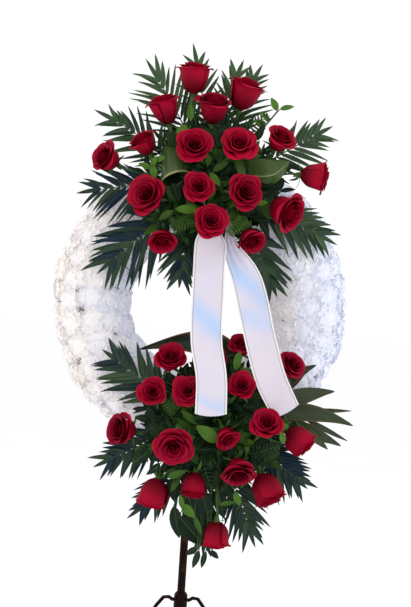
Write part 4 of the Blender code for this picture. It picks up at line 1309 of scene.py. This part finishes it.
# as for the fronds, with half the width of the leaf as the last number
WIDE_UNITS = (TENTH, TENTH) + (MM,) * 8
BROAD_LEAVES = table("""
1286 -2620 250 -236 376 -262 118 124 112 19
1286 -2580 236 -206 330 -186 118 112 100 18
1286 -2540 200 -176 282 -126 118 120 108 17
1286 -2670 246 -276 352 -312 118 116 106 18
""", *WIDE_UNITS)
LONG_LEAF, = table("""
950 -2150 46 -100 -138 -118 108 98 92 31
""", *WIDE_UNITS)
BROAD_SHADES = (0.35, 0.15, 0.7, 0.5)
# the narrow leaves between them: foot and tip across and up, depth and width
NARROW_LEAVES = table("""
250 -246 368 -300 126 12
236 -252 322 -322 130 22
255 -232 372 -228 128 10
205 -200 262 -138 124 14
""", *(MM,) * 6)
LEAF_FOOT = 0.10
LEAF_STALK = 0.0024


def wide_leaf(heap, row, shade, randomness):
    arc = rib_points(row)
    wave = randomness.uniform(0, math.tau)
    points = []
    for side, t in WIDE_CELLS:
        point = bend(arc, t)
        run = bend(arc, min(t + 0.05, 1.0)) - bend(arc, max(t - 0.05, 0.0))
        across = Vector((-run.z, 0, run.x)).normalized()
        opened = ((t - LEAF_FOOT) / 0.90) ** 0.85 if t > LEAF_FOOT else 0
        half = LEAF_STALK + row[9] * max(math.sin(math.pi * opened), 0.0) ** 1.25
        half = 0.0006 if t == 1 else half
        fold = -0.18 * half * abs(side) + 0.0018 * math.sin(7 * t + wave) * side * abs(side)
        points.append(point + across * half * side + Vector((0, fold, 0)))
    heap.lay(np.array(points), WIDE, shade)


wide = random.Random(3)
heap = Heap()
for row, shade in zip(BROAD_LEAVES, BROAD_SHADES):
    wide_leaf(heap, row, shade, wide)
for across, up, tip_across, tip_up, out, width in NARROW_LEAVES:
    root, tip = on_wreath(across, out - 0.006, up), on_wreath(tip_across, out - 0.016, tip_up)
    way = tip - root
    points = blade(root, way.normalized(), TO_FRONT, way.length, width, 0.05, 0.3, 0.9, WIDE)
    heap.lay(points, WIDE, wide.uniform(0.1, 0.6))
heap.make("broad_leaves_right", broad_leaf, "leaf_green", "leaves_lower_right")

heap = Heap()
wide_leaf(heap, LONG_LEAF, 0.8, wide)
heap.make("long_leaf", broad_leaf, "leaf_green", "leaf_long_lower")

# %% [markdown]
# One long leaf among the upper roses is rolled into a loop and pinned. It could be a bent
# sheet with a modifier, but a band laid round an axis, the same one as the solid's, keeps the
# roll even. The band is half of the leaf, its midrib is the far edge, and the inside is
# darkened by painted shade.

# %% Rolled leaf
ROLL_CELLS = 28
ROLL_START = -120
ROLL_TURN = 340
ROLL_TIGHTENS = 0.006
ROLL_HALF = 0.050
ROLL_FLARE = 0.22
STALK = [(-0.046, 0.146, 0.303), (-0.048, 0.162, 0.303), (-0.060, 0.178, 0.306)]


def band_leaf(heap, line, shade, middle, dark):
    """One half of a leaf along pairs of edge points, with its midrib at the second edge.

    The part of it behind the middle is the inside of the roll, which is given painted shade.
    """
    points = []
    for side, t in WIDE_CELLS:
        low, high = line[min(round(t * (len(line) - 1)), len(line) - 1)]
        points.append(low.lerp(high, side * 0.5 + 0.5))
    half_sheet = sheet_places(*WIDE[:2]) * (-0.5, 1) + (1, 0)
    inside = np.clip((np.array(points)[:, 1] - middle.y) / (0.5 * LOOP_RADIUS), 0, 1)
    heap.add(np.array(points), WIDE[2], half_sheet, shade + dark * inside)


heap = Heap()
middle = on_wreath(*LOOP_MIDDLE)
first = LOOP_AXIS.cross(Vector((1, 0, 0))).normalized()
second = LOOP_AXIS.cross(first).normalized()
line = []
for i in range(ROLL_CELLS + 1):
    t = i / ROLL_CELLS
    turn = math.radians(ROLL_START + ROLL_TURN * t)
    reach = LOOP_RADIUS - ROLL_TIGHTENS * t
    spot = middle + reach * (first * math.cos(turn) + second * math.sin(turn))
    half = ROLL_HALF * (0.50 + 0.50 * math.sin(math.pi * t))
    spread = (spot - middle) * ROLL_FLARE
    line.append((spot - spread - LOOP_AXIS * half, spot + spread + LOOP_AXIS * half * 0.85))
# painted shade: the inside of the roll is given 1.3 more shade
band_leaf(heap, line, 0.1, middle, 1.3)
heap.add(*tube([on_wreath(*point) for point in STALK], [0.0022, 0.0022, 0.0018], 6), 0.3)
heap.make("rolled_leaf", bent_leaf, "leaf_green", "leaf_loop_upper")

# %% [markdown]
# A second long leaf is folded over. Its ridge runs along a line of its own, close to its
# solid, and the two sides fall from the ridge like a roof, wider towards the middle.

# %% Folded leaf
HIGH_EDGE = Vector((-0.016, 0.020, 0.042))
LOW_EDGE = Vector((0.012, 0.030, -0.032))
heap = Heap()
spine = curve_through(RIDGE_LINE, 6)
points = []
for side, t in WIDE_CELLS:
    wide_here = 0.006 + math.sin(math.pi * min(0.08 + t * 0.98, 1.0))
    ridge = on_wreath(*spine[round(t * (len(spine) - 1))])
    edge = ridge + HIGH_EDGE * wide_here if side > 0 else ridge + LOW_EDGE * wide_here * t
    points.append(ridge.lerp(edge, abs(side) ** 1.3))
# the light shade is partly painted light on this leaf
heap.lay(np.array(points), WIDE, -0.1)
heap.make("folded_leaf", bent_leaf, "leaf_green", "leaf_fold_upper")

# %% [markdown]
# Two satin tails hang from a pinned fold between the upper roses and rest on the lower ones.
# Each was cut from a flat ribbon 72 mm wide. At the pin it is gathered into pleats, so there
# the cloth zigzags and keeps its full width along its surface, and then it opens out. It is
# modelled directly as a fine grid, because a simulation would not keep the pinned pleats.

# %% Ribbon tails
SATIN = grid(24, 64)
RIBBON_WIDTH = 0.072
RIBBON_STEPS = 8
PLEATS = 3
PLEATS_OPEN = 0.066
PLEATS_FADE = 0.02
CROWN = 0.0045
SWING = 0.0025
HEM = 0.006
HEM_FROM = 0.85
# bands that take the blue of the sky: height on the wreath, slant, spread and strength
SKY_LEFT = [(-0.035, 0.030, 0.034, 1.0), (-0.215, 0.012, 0.012, 0.7)]
SKY_RIGHT = [(0.050, 0.045, 0.036, 1.0), (-0.030, 0.020, 0.025, 0.6)]


def sky_shade(sky, up, side):
    """How much sky a point takes, from every band of its tail."""
    return sum(strength * math.exp(-(((up - height + slant * side) / spread) ** 2))
               for height, slant, spread, strength in sky)


def ribbon_tail(name, rows, sky):
    middles = np.array(curve_through([on_wreath(*row[:3]) for row in rows], RIBBON_STEPS))
    widths = [w[0] for w in curve_through([(row[3], 0, 0) for row in rows], RIBBON_STEPS)]
    lengths = np.concatenate([[0], np.cumsum(np.linalg.norm(np.diff(middles, axis=0), axis=1))])
    total = float(lengths[-1])

    def middle_at(t):
        far = min(max(t, 0), 1) * total
        return np.array([np.interp(far, lengths, middles[:, k]) for k in range(3)])

    points, shades = [], []
    for side, t in zip(*SATIN[:2]):
        here = middle_at(t)
        width = min(float(np.interp(t * total, lengths, widths)), RIBBON_WIDTH)
        run = middle_at(t + 0.03) - middle_at(t - 0.03)
        across = np.array([-run[2], 0.0, run[0]])
        across /= np.linalg.norm(across)
        if across[0] < 0.3:
            across = np.array([1.0, 0.0, 0.0])
        out = np.cross(across, run)
        out /= np.linalg.norm(out)
        depth = math.sqrt(max(RIBBON_WIDTH**2 - width**2, 0)) / (4 * PLEATS)
        depth *= min(max((PLEATS_OPEN - width) / PLEATS_FADE, 0.0), 1.0)
        zigzag = math.asin(math.sin(side * math.pi * PLEATS)) / (math.pi / 2)
        crown = CROWN * math.cos(side * math.pi / 2) * min(width / RIBBON_WIDTH, 1)
        swing = SWING * math.sin(5 * t * math.tau + 1.5 * side) * min(width / RIBBON_WIDTH, 1)
        hem = run / np.linalg.norm(run) * HEM * (1 - side**2) * max(t - HEM_FROM, 0) / 0.15
        points.append(here + hem + across * side * width / 2 + out * (depth * zigzag + crown + swing))
        shades.append(sky_shade(sky, here[2] - RING_HEIGHT, side))
    heap = Heap()
    heap.lay(np.array(points), SATIN, np.array(shades))
    tail = heap.make(name, satin, "white_satin", name.replace("satin", "ribbon"))
    print(name, "flat length", round(total, 3), "m")


ribbon_tail("satin_left", RIBBON_LEFT, SKY_LEFT)
ribbon_tail("satin_right", RIBBON_RIGHT, SKY_RIGHT)

# %% [markdown]
# A plain pale floor stands under the feet. It isn't part of the object.

# %% Floor
FLOOR_HALF = 40.0
CORNERS = ((-1, -1), (1, -1), (1, 1), (-1, 1))
floor_material, tree, shader = new_material("pale_floor", Roughness=0.8)
grain = use_group(tree, wear, Grain=40.0, Scuffs=3.0, Level=2.0)
fill(tree, shader, Base_Color=mix_colour(tree, grain["Smudge"], (0.95, 0.95, 0.96, 1), (0.97, 0.97, 0.97, 1)))
floor_mesh = bpy.data.meshes.new("floor")
floor_mesh.from_pydata([(x * FLOOR_HALF, y * FLOOR_HALF, 0) for x, y in CORNERS], [], [(0, 1, 2, 3)])
floor_mesh.materials.append(floor_material)
floor = bpy.data.objects.new("floor", floor_mesh)
bpy.context.scene.collection.objects.link(floor)
print("floor:", 2 * FLOOR_HALF, "m across")

# %% [markdown]
# The last step brings the scene up to date.

# %% Finish
bpy.context.view_layer.update()
